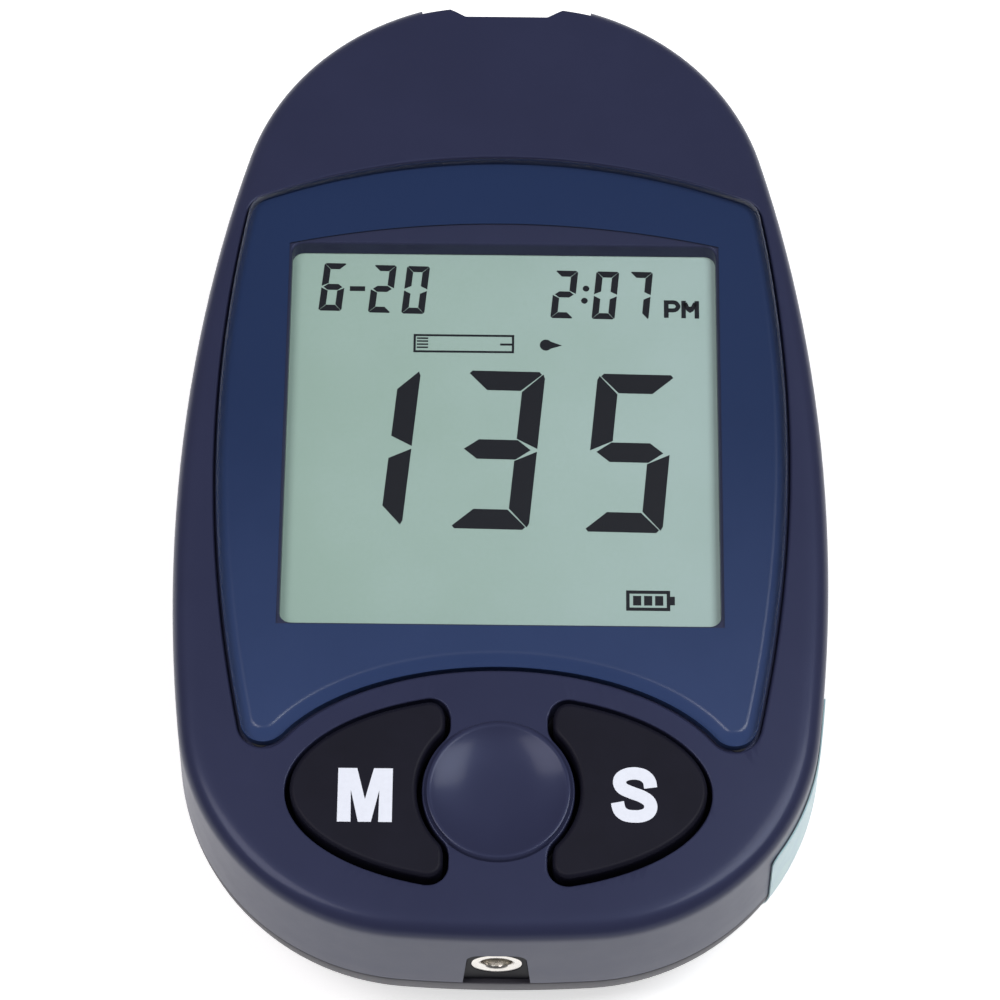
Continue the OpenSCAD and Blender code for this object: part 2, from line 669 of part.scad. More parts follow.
// A thin seal that wraps the right lower side, across the seam.
seal_from = data_turn + 48;
seal_to = data_side_turn + 2;
function seal_line(inset) = concat(arc(data_corner_c, data_round - inset, seal_from, data_side_turn, 6),
    arc(side_c, side_r - inset, data_side_turn, seal_to, 4),
    [side_c + (side_r - inset) * [cos(seal_to), sin(seal_to)]]);
function wall_inset(z) = z < seam_z ? back_inset(z) : wall_lean * (z - seam_z) / (edge_z - seam_z);
module seal_label() color([0.75, 0.86, 0.87]) {
    heights = concat([for (k = [seal_steps:-1:0]) seam_z * (1 - sin(k * back_turn))], [seal_top_z]);
    under = 0.04;
    loft([for (z = heights) level(concat(seal_line(wall_inset(z) - under - label_t),
        [for (i = [10:-1:0]) seal_line(wall_inset(z) - under)[i]]), z)]);
}

// ---- Display ----
module display_lens() color([0.1, 0.15, 0.3]) {
    steps = 3;
    for (i = [0:steps]) translate([0, 0, lens_low_z])
        linear_extrude(lens_t - lens_bevel * 0.8 * (1 - i / steps)) lens_shape(-lens_bevel * i / steps);
}
module lens_adhesive() color([0.15, 0.15, 0.17])
    translate([0, 0, lens_seat_z]) linear_extrude(adhesive_t) difference() {
        lens_shape(-0.6);
        intersection() {
            translate([0, window_y + window_brow / 2])
                square([window_w + 1, window_l + 0.6 + window_brow], center = true);
            lens_shape(-adhesive_w);
        }
    }
module lcd_front_glass() color([0.6, 0.68, 0.62])
    block([-glass_w / 2, window_y - glass_l / 2, glass_top_z - glass_t],
        [glass_w / 2, window_y + glass_l / 2, glass_top_z]);
module lcd_rear_glass() color([0.55, 0.63, 0.57])
    block([-glass_w / 2, window_y - rear_glass_l / 2, rear_glass_z],
        [glass_w / 2, window_y + rear_glass_l / 2, rear_glass_z + glass_t]);
module lcd_reflector() color([0.7, 0.74, 0.7])
    block([-glass_w / 2 + 0.3, window_y - rear_glass_l / 2 + 0.3, rear_glass_z - reflector_t],
        [glass_w / 2 - 0.3, window_y + rear_glass_l / 2 - 0.3, rear_glass_z]);
module lcd_frame() color([0.85, 0.85, 0.83]) difference() {
    block([-frame_w / 2, window_y - frame_l / 2, board_top_z],
        [frame_w / 2, window_y + frame_l / 2, glass_top_z]);
    block([-glass_w / 2 - slip, window_y - glass_l / 2 - slip, rear_glass_z - reflector_t - slip],
        [glass_w / 2 + slip, window_y + glass_l / 2 + slip, glass_top_z + cut]);
    block([-glass_w / 2 + frame_shelf_w, window_y - glass_l / 2 - slip, board_top_z - cut],
        [glass_w / 2 - frame_shelf_w, window_y + glass_l / 2 + slip, glass_top_z]);
}
module zebra_strips() color([0.9, 0.55, 0.6]) for (side = [-1, 1]) {
    top = glass_top_z - glass_t;
    translate([0, window_y + side * (glass_l / 2 - zebra_t / 2 - 0.1), (board_top_z + top) / 2])
        cube([glass_w - 2 * frame_shelf_w - 1, zebra_t, top - board_top_z], center = true);
}

// ---- Keys ----
module key(side) {
    translate([0, 0, flange_z]) linear_extrude(key_flange_t)
        key_shape(side, min(key_flange, bridge_half - 0.3));
    for (i = [0:2]) translate([0, 0, flange_z])
        linear_extrude(key_top_z - flange_z - 0.3 * (2 - i)) key_shape(side, -key_gap - 0.25 * i);
    translate([side * key_x, -keys_back, 0]) rod(dome_top_r, stem_z, flange_z + slip);
}
module memory_button() color([0.08, 0.08, 0.1]) key(-1);
module set_button() color([0.08, 0.08, 0.1]) key(1);
// A dome stands on the mat under its key and folds when the key goes down.
module dome(side) translate([side * key_x, -keys_back, mat_top_z]) rotate_extrude() {
    h = stem_z - mat_top_z;
    polygon([[dome_r - dome_wall, 0], [dome_r, 0], [dome_top_r, h], [0, h], [0, h - dome_wall],
        [dome_top_r - dome_wall, h - dome_wall]]);
}
module memory_dome() color([0.35, 0.36, 0.4]) dome(-1);
module set_dome() color([0.35, 0.36, 0.4]) dome(1);
module keypad_mat() color([0.3, 0.31, 0.35]) translate([0, 0, board_top_z]) linear_extrude(mat_t)
    mat_shape();
module mat_shape() difference() {
    intersection() {
        outline(board_inset + 1);
        translate([-half_w, -half_l]) square([case_w, half_l + post_mid_y - post_r - 0.3]);
    }
    at(bosses) circle(r = boss_r + boss_room + 0.2);
    // Its upper corners end at the screw bosses.
    for (side = [-1, 1]) translate([side * (data_boss[0] + half_w / 2), data_boss[1] + half_w / 2])
        square(half_w, center = true);
    translate([-jack_w / 2 - 0.8, -half_l]) square([jack_w + 1.6, jack_end_y + half_l + 0.3]);
    for (side = [-1, 1]) translate([side * key_x, -keys_back]) circle(r = dome_r - dome_wall);
}
module key_contact_pads() color([0.85, 0.7, 0.3]) for (side = [-1, 1])
    translate([side * key_x, -keys_back, 0]) rod(pad_r, board_top_z, board_top_z + pad_t);

// ---- Board ----
module main_board() color([0.1, 0.35, 0.2]) translate([0, 0, board_z]) linear_extrude(board_t) difference() {
    outline(board_inset);
    at(bosses) circle(r = boss_r + boss_room);
    at(posts) circle(r = board_screw_r + 0.15);
}
chip_y = window_y + 3;
module microcontroller() color([0.12, 0.12, 0.13]) {
    block([-chip_w / 2, chip_y - chip_w / 2, board_top_z + 0.15],
        [chip_w / 2, chip_y + chip_w / 2, board_top_z + 0.15 + chip_t]);
    pitch = 0.85 * chip_w / (chip_leads - 1);
    for (turn = [0:90:270], i = [0:chip_leads - 1]) translate([0, chip_y, board_top_z]) rotate([0, 0, turn])
        translate([(i - (chip_leads - 1) / 2) * pitch - 0.15, chip_w / 2 - 0.2, 0]) cube([0.3, 1.2, 0.35]);
}
module memory_chip() color([0.14, 0.14, 0.15])
    block([-memory_x, -memory_back, board_top_z],
        [memory_w - memory_x, 4 * memory_w / 5 - memory_back, board_top_z + memory_t]);
module clock_crystal() color([0.75, 0.75, 0.77])
    translate([crystal_x, -crystal_back, board_top_z + crystal_r + slip]) rotate([90, 0, 0])
        cylinder(r = crystal_r, h = crystal_l);
module chip_capacitors() color([0.7, 0.55, 0.4]) for (i = [0:capacitor_count - 1])
    translate([(i - 3.3) * capacitor_pitch, capacitors_y, board_top_z])
        cube([capacitor_w, capacitor_l, capacitor_h]);
module buzzer() color([0.1, 0.1, 0.1]) translate([buzzer_x, buzzer_y, 0]) difference() {
    rod(buzzer_d / 2, board_z - buzzer_h, board_z);
    rod(1, board_z - buzzer_h - cut, board_z - buzzer_h + 1);
}
module case_screws() color([0.7, 0.7, 0.72]) at(bosses) difference() {
    union() {
        rod(screw_head_r, screw_seat_z - screw_head_h, screw_seat_z);
        rod(screw_r, screw_seat_z - slip, seam_z + screw_bite);
    }
    for (turn = [0, 90]) rotate([0, 0, turn])
        translate([-0.25, -1.1, screw_seat_z - screw_head_h - cut]) cube([0.5, 2.2, cut + 0.7]);
}
module board_screws() color([0.7, 0.7, 0.72]) at(posts) difference() {
    union() {
        rod(board_screw_head_r, board_z - board_screw_head_h, board_z);
        rod(board_screw_r, board_z - slip, board_top_z + board_screw_bite);
    }
    translate([-0.2, -0.9, board_z - board_screw_head_h - cut]) cube([0.4, 1.8, cut + 0.3]);
}

// ---- Strip port ----
module strip_port_bezel() color([0.2, 0.21, 0.3]) difference() {
    intersection() {
        translate([0, 0, seam_z + slip]) linear_extrude(bezel_top_z - seam_z - slip) outline(wall_lean + 0.05);
        block([-bezel_w / 2, bezel_back_y + slip, seam_z], [bezel_w / 2, half_l, bezel_top_z]);
    }
    block([-strip_w / 2 - 0.1, bezel_back_y - cut, strip_z - strip_h / 2 - 0.1],
        [strip_w / 2 + 0.1, half_l + cut, strip_z + strip_h / 2 + 0.1]);
    strip_notch();
    // The board's end reaches in under the bezel.
    block([-bezel_w, bezel_back_y - cut, seam_z - cut], [bezel_w, half_l - board_inset + 0.2, board_top_z + 0.2]);
    // The mouth opens out above and below, so that a strip finds its way.
    along_y(half_l - mouth_l, half_l + cut) translate([0, strip_z])
        square([strip_w + 1.2, strip_h + 1.6], center = true);
}
module strip_connector() color([0.9, 0.9, 0.86]) difference() {
    block([-connector_w / 2, connector_y, board_top_z],
        [connector_w / 2, connector_y + connector_l, board_top_z + connector_h]);
    block([-strip_w / 2, connector_y + connector_l - strip_depth, strip_z - strip_h / 2],
        [strip_w / 2, connector_y + connector_l + cut, strip_z + strip_h / 2]);
    for (i = [0:contact_count - 1]) translate([(i - (contact_count - 1) / 2) * contact_pitch, 0, 0])
        block([-contact_w / 2 - slip, connector_y - cut, strip_z - strip_h / 2 - 0.8],
            [contact_w / 2 + slip, connector_y + connector_l - 1.5, strip_z]);
}
module strip_contacts() color([0.85, 0.7, 0.3]) for (i = [0:contact_count - 1]) {
    low = strip_z - strip_h / 2 - 0.75;
    x = (i - (contact_count - 1) / 2) * contact_pitch;
    y0 = connector_y - 1.2;
    y1 = connector_y + connector_l - 2;
    translate([x - contact_w / 2, 0, 0]) rotate([90, 0, 90]) linear_extrude(contact_w)
        polygon([[y0, board_top_z], [y0 + 0.3, board_top_z], [y0 + 0.3, low], [y1, low],
            [y1 - 2, low + 0.95], [y1 - 2.6, low + 0.95], [y1 - 4.5, low + 0.3], [y0, low + 0.3]]);
}

// ---- Data jack ----
module data_jack_body() color([0.06, 0.06, 0.07]) difference() {
    union() {
        along_y(jack_face_y, jack_block_y) jack_notch(0.1);
        block([-jack_w / 2, jack_block_y, board_top_z], [jack_w / 2, jack_end_y, board_top_z + jack_h]);
    }
    translate([0, jack_face_y - cut, jack_z]) rotate([-90, 0, 0]) {
        cylinder(r = jack_bore_r, h = jack_depth + cut);
        cylinder(r = sleeve_d / 2 + 0.03, h = sleeve_l + cut);
    }
}
module data_jack_sleeve() color([0.8, 0.8, 0.8]) translate([0, jack_face_y, jack_z]) rotate([-90, 0, 0])
    difference() {
        cylinder(r = sleeve_d / 2, h = sleeve_l);
        translate([0, 0, -cut]) cylinder(r = jack_bore_r, h = sleeve_l + 2 * cut);
    }
module data_jack_contacts() color([0.8, 0.8, 0.8]) for (side = [-1, 1], k = [0.35, 0.75])
    translate([side * (jack_w / 2 + 0.15), jack_face_y + jack_depth * k, 0])
        block([-0.15, -0.5, board_top_z], [0.15, 0.5, jack_z]);

// ---- Battery ----
module coin_cell() color([0.78, 0.78, 0.78]) translate(cell_c) {
    rod(cell_d / 2, cell_z, cell_z + cell_t - cell_step_h);
    rod(cell_d / 2 - cell_step, cell_z, cell_z + cell_t);
}
module battery_positive_clip() color([0.8, 0.8, 0.78]) {
    x = cell_d / 2 + 0.01;
    block([x, -cell_back - clip_w / 2, cell_z + 0.4], [x + 0.3, -cell_back + clip_w / 2, board_z]);
}
module battery_negative_spring() color([0.8, 0.8, 0.78]) {
    top = cell_z + cell_t;
    y = -cell_back - spring_foot;
    translate([-spring_w / 2, 0, 0]) rotate([90, 0, 90]) linear_extrude(spring_w)
        polygon([[y, board_z], [y - 0.3, board_z], [y - 0.3, top + 0.8], [y + 6, top], [y + 8, top + 0.5],
            [y + 7.9, top + 0.8], [y + 6, top + 0.3], [y, top + 1.05]]);
}

// ---- Code chip ----
module code_chip_socket() color([0.15, 0.15, 0.17]) difference() {
    half = code_w / 2 + code_gap;
    low = code_low_z - code_gap;
    block([socket_x, code_y - half - socket_wall, low - socket_wall],
        [code_end_x + socket_wall + 0.4, code_y + half + socket_wall, board_z]);
    block([socket_x - cut, code_y - half, low], [code_end_x + 0.4, code_y + half, code_top_z + code_gap]);
}
module code_chip_contacts() color([0.85, 0.7, 0.3]) for (i = [-2:2])
    translate([code_end_x + socket_wall + 0.4, code_y + i * code_w / 6, 0])
        block([0, -0.3, code_mid_z], [0.4, 0.3, board_z]);
module code_chip() color([0.25, 0.27, 0.32]) intersection() {
    block([-half_w, code_y - code_w / 2, code_low_z], [code_end_x, code_y + code_w / 2, code_top_z]);
    linear_extrude(seam_z) outline(back_inset(code_mid_z) + 0.1);
}

front_case();
back_case();
display_lens();
lens_adhesive();
lcd_front_glass();
lcd_rear_glass();
lcd_reflector();
lcd_frame();
zebra_strips();
main_board();
microcontroller();
memory_chip();
clock_crystal();
chip_capacitors();
buzzer();
strip_connector();
strip_contacts();
strip_port_bezel();
coin_cell();
battery_positive_clip();
battery_negative_spring();
battery_door();
data_jack_body();
data_jack_sleeve();
data_jack_contacts();
keypad_mat();
memory_dome();
set_dome();
key_contact_pads();
memory_button();
set_button();
case_screws();
board_screws();
code_chip_socket();
code_chip_contacts();
code_chip();
seal_label();
back_label();
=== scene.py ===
"""The looks of a hand-held blood glucose meter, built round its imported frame.

Pieces are modelled in millimetres at their own place, and shrunk to metres when they are done.
+Z comes out of the display, +Y points to the strip end and +X is right.
"""

import sys

import logging
import math
from dataclasses import dataclass, field
from enum import Enum
from typing import Any, Sequence

import bmesh
import bpy
from mathutils import Matrix, Vector


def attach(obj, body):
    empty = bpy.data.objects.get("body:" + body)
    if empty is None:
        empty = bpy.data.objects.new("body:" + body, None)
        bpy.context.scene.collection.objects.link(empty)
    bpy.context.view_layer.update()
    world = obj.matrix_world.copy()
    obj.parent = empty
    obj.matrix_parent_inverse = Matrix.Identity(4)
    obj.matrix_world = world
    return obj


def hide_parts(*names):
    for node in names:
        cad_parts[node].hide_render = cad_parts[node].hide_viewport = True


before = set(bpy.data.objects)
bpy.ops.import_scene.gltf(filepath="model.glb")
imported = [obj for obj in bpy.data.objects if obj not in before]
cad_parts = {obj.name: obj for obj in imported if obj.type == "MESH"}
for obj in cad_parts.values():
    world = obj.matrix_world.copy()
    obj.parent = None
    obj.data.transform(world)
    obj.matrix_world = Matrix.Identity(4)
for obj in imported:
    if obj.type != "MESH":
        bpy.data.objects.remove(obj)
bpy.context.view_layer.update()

MM = 0.001
Point = tuple[float, float]
Place = tuple[float, float, float]
Colour = tuple[float, float, float]
Piece = bpy.types.Object
Socket = bpy.types.NodeSocket
log = logging.getLogger("meter")


# ---- Plane geometry ----
def sine(degrees: float) -> float:
    """The sine of an angle in degrees."""
    return math.sin(math.radians(degrees))


def cosine(degrees: float) -> float:
    """The cosine of an angle in degrees."""
    return math.cos(math.radians(degrees))


def span(start: float, end: float, steps: int) -> list[float]:
    """Evenly spread values from start to end, with both."""
    return [start + (end - start) * i / steps for i in range(steps + 1)]


def at_turn(centre: Point, radius: float, turn: float) -> Point:
    """The point of a circle at an angle in degrees."""
    return centre[0] + radius * cosine(turn), centre[1] + radius * sine(turn)


def arc(centre: Point, radius: float, start: float, end: float, steps: int) -> list[Point]:
    """Points of an arc, without its last one.

    Args:
        centre: The arc's centre.
        radius: Its radius.
        start: The angle of the first point, in degrees.
        end: The angle that the arc runs to.
        steps: The number of points.

    Returns:
        The points in order.
    """
    return [at_turn(centre, radius, turn) for turn in span(start, end, steps)[:-1]]


def circle(centre: Point, radius: float, steps: int) -> list[Point]:
    """A closed circle, anticlockwise."""
    return arc(centre, radius, 0, 360, steps)


def ellipse(half_w: float, half_l: float, middle_y: float, turns: Sequence[float]) -> list[Point]:
    """Points of an ellipse on the middle line, at angles in degrees."""
    return [(half_w * cosine(turn), middle_y + half_l * sine(turn)) for turn in turns]


def heading(a: Point, b: Point) -> float:
    """The direction from a to b, in degrees."""
    return math.degrees(math.atan2(b[1] - a[1], b[0] - a[0]))


def meet(a: Point, radius_a: float, b: Point, radius_b: float, hand: int) -> Point:
    """Where two circles meet.

    Args:
        a: Centre of the first circle.
        radius_a: Its radius.
        b: Centre of the second circle.
        radius_b: Its radius.
        hand: 1 for the point to the left of the way from a to b, -1 for the right.

    Returns:
        The point.
    """
    gap = math.dist(a, b)
    ux, uy = (b[0] - a[0]) / gap, (b[1] - a[1]) / gap
    along = (radius_a**2 - radius_b**2 + gap**2) / (2 * gap)
    aside = hand * math.sqrt(radius_a**2 - along**2)
    return a[0] + along * ux - aside * uy, a[1] + along * uy + aside * ux


def grown(outline: Sequence[Point], by: float) -> list[Point]:
    """An anticlockwise outline moved outwards along its own normals.

    Args:
        outline: The closed outline.
        by: How far it moves, less than zero for inwards.

    Returns:
        The moved outline, with as many points.
    """
    result = []
    count = len(outline)
    for i, (x, y) in enumerate(outline):
        before, after = outline[i - 1], outline[(i + 1) % count]
        ends = []
        for (ax, ay), (bx, by_) in ((before, (x, y)), ((x, y), after)):
            length = math.dist((ax, ay), (bx, by_))
            ends.append(((by_ - ay) / length, (ax - bx) / length))
        nx, ny = ends[0][0] + ends[1][0], ends[0][1] + ends[1][1]
        scale = 2 * by / (nx * nx + ny * ny)
        result.append((x + nx * scale, y + ny * scale))
    return result


def rounded(sides: Sequence[list[Point]], radius: float, spacing: int) -> list[Point]:
    """Joins dense sides into one anticlockwise outline with rounded convex corners.

    Args:
        sides: Open sides, each of points that lie close together.
        radius: The radius of each corner.
        spacing: Every how many points of a side are kept.

    Returns:
        The closed outline.
    """
    count = len(sides)
    starts, ends, centres = [0] * count, [0] * count, [(0.0, 0.0)] * count
    for i, side in enumerate(sides):
        following = sides[(i + 1) % count]
        for k in range(len(side) - 2, 0, -1):
            length = math.dist(side[k], side[k + 1])
            inward = (-(side[k + 1][1] - side[k][1]) / length, (side[k + 1][0] - side[k][0]) / length)
            centre = (side[k][0] + radius * inward[0], side[k][1] + radius * inward[1])
            nearest = min(range(len(following)), key=lambda j: math.dist(centre, following[j]))
            if math.dist(centre, following[nearest]) >= radius:
                break
        ends[i], starts[(i + 1) % count], centres[i] = k, nearest, centre
    outline: list[Point] = []
    for i, side in enumerate(sides):
        outline += side[starts[i]:ends[i] - spacing // 2:spacing]
        following = sides[(i + 1) % count]
        start = heading(centres[i], side[ends[i]])
        end = heading(centres[i], following[starts[(i + 1) % count]])
        turn = (end - start) % 360
        outline += arc(centres[i], radius, start, start + turn, max(3, round(turn / 9)))
    return outline


def mirrored(outline: Sequence[Point]) -> list[Point]:
    """An outline mirrored across the middle, still anticlockwise."""
    return [(-x, y) for x, y in reversed(outline)]


def level(outline: Sequence[Point], z: float) -> list[Place]:
    """An outline at one height."""
    return [(x, y, z) for x, y in outline]


def moved(outline: Sequence[Point], x: float, y: float) -> list[Point]:
    """An outline moved in its plane."""
    return [(at_x + x, at_y + y) for at_x, at_y in outline]


def shrunk(outline: Sequence[Point], share: float) -> list[Point]:
    """An outline drawn in towards the middle."""
    return [(x * share, y * share) for x, y in outline]


def curved(points: Sequence[Point], steps: int = 4) -> list[Point]:
    """A smooth line through points.

    Args:
        points: The points, in order.
        steps: The number of steps from point to point.

    Returns:
        The line's points.
    """
    ends = [points[0], *points, points[-1]]
    line: list[Point] = []
    for i in range(1, len(ends) - 2):
        a, b, c, d = ends[i - 1:i + 3]
        for k in range(steps):
            t = k / steps
            line.append(tuple(0.5 * (2 * b[n] + (c[n] - a[n]) * t
                                     + (2 * a[n] - 5 * b[n] + 4 * c[n] - d[n]) * t * t
                                     + (3 * b[n] - a[n] - 3 * c[n] + d[n]) * t**3) for n in (0, 1)))
    return line + [points[-1]]


def ribbon(points: Sequence[Point], width: float, steps: int = 4) -> list[Point]:
    """The outline of a smooth line drawn with a broad pen.

    Args:
        points: The points that the line runs through.
        width: The pen's width.
        steps: The number of steps from point to point.

    Returns:
        The closed outline, anticlockwise.
    """
    line = curved(points, steps)
    left, right = [], []
    for i, (x, y) in enumerate(line):
        a, b = line[max(0, i - 1)], line[min(len(line) - 1, i + 1)]
        length = math.dist(a, b)
        nx, ny = -(b[1] - a[1]) / length * width / 2, (b[0] - a[0]) / length * width / 2
        left.append((x + nx, y + ny))
        right.append((x - nx, y - ny))
    return right + left[::-1]


def plate_outline(width: float, length: float, corner: float, centre: Point = (0.0, 0.0)) -> list[Point]:
    """A rectangle with round corners, anticlockwise.

    Args:
        width: Its size along X.
        length: Its size along Y.
        corner: The radius of its corners.
        centre: Its middle.

    Returns:
        The closed outline.
    """
    x, y = width / 2 - corner, length / 2 - corner
    outline: list[Point] = []
    for cx, cy, start in ((x, y, 0), (-x, y, 90), (-x, -y, 180), (x, -y, 270)):
        middle = (centre[0] + cx, centre[1] + cy)
        outline += [at_turn(middle, corner, turn) for turn in span(start, start + 90, 6)]
    return outline


@dataclass(frozen=True)
class CaseForm:
    """The meter's outer form, which every shell and hole follows. All sizes are in millimetres."""

    half_w: float = 28.7
    half_l: float = 46.1
    side_r: float = 144.0
    widest_y: float = -9.5
    strip_end_r: float = 38.0
    data_end_r: float = 120.0
    strip_corner_r: float = 23.5
    data_corner_r: float = 21.0
    seam_z: float = 9.0
    face_z: float = 21.0
    edge_r: float = 2.0
    lean: float = 0.35
    edge_full: float = 0.74
    back_round: float = 7.0
    wall: float = 1.8
    roof: float = 2.2
    side_fall: float = 0.8
    strip_fall: float = 1.3
    strip_fall_from: float = 15.0
    data_fall: float = 0.5
    data_fall_from: float = 20.0
    end_steps: int = 6
    corner_steps: int = 28
    side_steps: int = 16

    @property
    def edge_z(self) -> float:
        """Where the wall ends and the rounded edge starts."""
        return self.face_z - self.edge_r

    def turns(self) -> tuple[list[Point], list[float], list[float]]:
        """The right half's arcs.

        Returns:
            The centres, the radii, and the angles between which each arc runs.
        """
        side = (self.half_w - self.side_r, self.widest_y)
        strip_end = (0.0, self.half_l - self.strip_end_r)
        data_end = (0.0, self.data_end_r - self.half_l)
        strip_r, data_r = self.strip_corner_r, self.data_corner_r
        strip = meet(side, self.side_r - strip_r, strip_end, self.strip_end_r - strip_r, 1)
        data = meet(side, self.side_r - data_r, data_end, self.data_end_r - data_r, -1)
        angles = [-90.0, heading(data_end, data), heading(side, data), 0.0, heading(side, strip),
                  heading(strip_end, strip), 90.0]
        centres = [data_end, data, side, side, strip, strip_end]
        radii = [self.data_end_r, data_r, self.side_r, self.side_r, strip_r, self.strip_end_r]
        return centres, radii, angles

    def ring(self, inset: float = 0.0) -> list[Point]:
        """The case's outline, anticlockwise from the middle of the data end.

        Args:
            inset: How far the outline is moved in.

        Returns:
            The closed outline.
        """
        centres, radii, angles = self.turns()
        half = [self.end_steps, self.corner_steps, self.side_steps]
        steps = half + half[::-1]
        right: list[Point] = []
        for i, centre in enumerate(centres):
            right += arc(centre, radii[i] - inset, angles[i], angles[i + 1], steps[i])
        return right + [(0.0, self.half_l - inset)] + mirrored(right[1:])

    def fall(self, x: float, y: float) -> float:
        """How far the face lies below its middle at a place.

        Args:
            x: The place's X.
            y: Its Y.

        Returns:
            The fall, in millimetres.
        """
        strip = max(0.0, y - self.strip_fall_from) / (self.half_l - self.strip_fall_from)
        data = max(0.0, -y - self.data_fall_from) / (self.half_l - self.data_fall_from)
        return self.side_fall * (x / self.half_w) ** 2 + self.strip_fall * strip**2 + self.data_fall * data**2

    def face_at(self, x: float, y: float) -> float:
        """The height of the face at a place."""
        return self.face_z - self.fall(x, y)

    def lifted(self, outline: Sequence[Point], z: float, top: float) -> list[Place]:
        """An outline that takes up more of the face's fall the nearer it is to the top.

        Args:
            outline: The outline.
            z: Its height where the face doesn't fall.
            top: The height at which it takes up all of the fall.

        Returns:
            The places.
        """
        share = min(1.0, max(0.0, (z - self.seam_z) / (top - self.seam_z)))
        return [(x, y, z - self.fall(x, y) * share) for x, y in outline]

    def back_inset(self, z: float) -> float:
        """How far the back is rounded in at a height below the seam."""
        return self.back_round * (1 - math.sqrt(max(0.0, 1 - ((self.seam_z - z) / self.seam_z) ** 2)))

    def wall_inset(self, z: float) -> float:
        """How far the outer wall lies inside the outline at a height.

        Args:
            z: The height.

        Returns:
            The inset.
        """
        if z < self.seam_z:
            return self.back_inset(z)
        return self.lean * (z - self.seam_z) / (self.edge_z - self.seam_z)


FORM = CaseForm()


# ---- The workbench: modelling by operators ----
class Blend(Enum):
    """How a solid is combined with a tool."""

    CUT = "DIFFERENCE"
    JOIN = "UNION"
    COMMON = "INTERSECT"


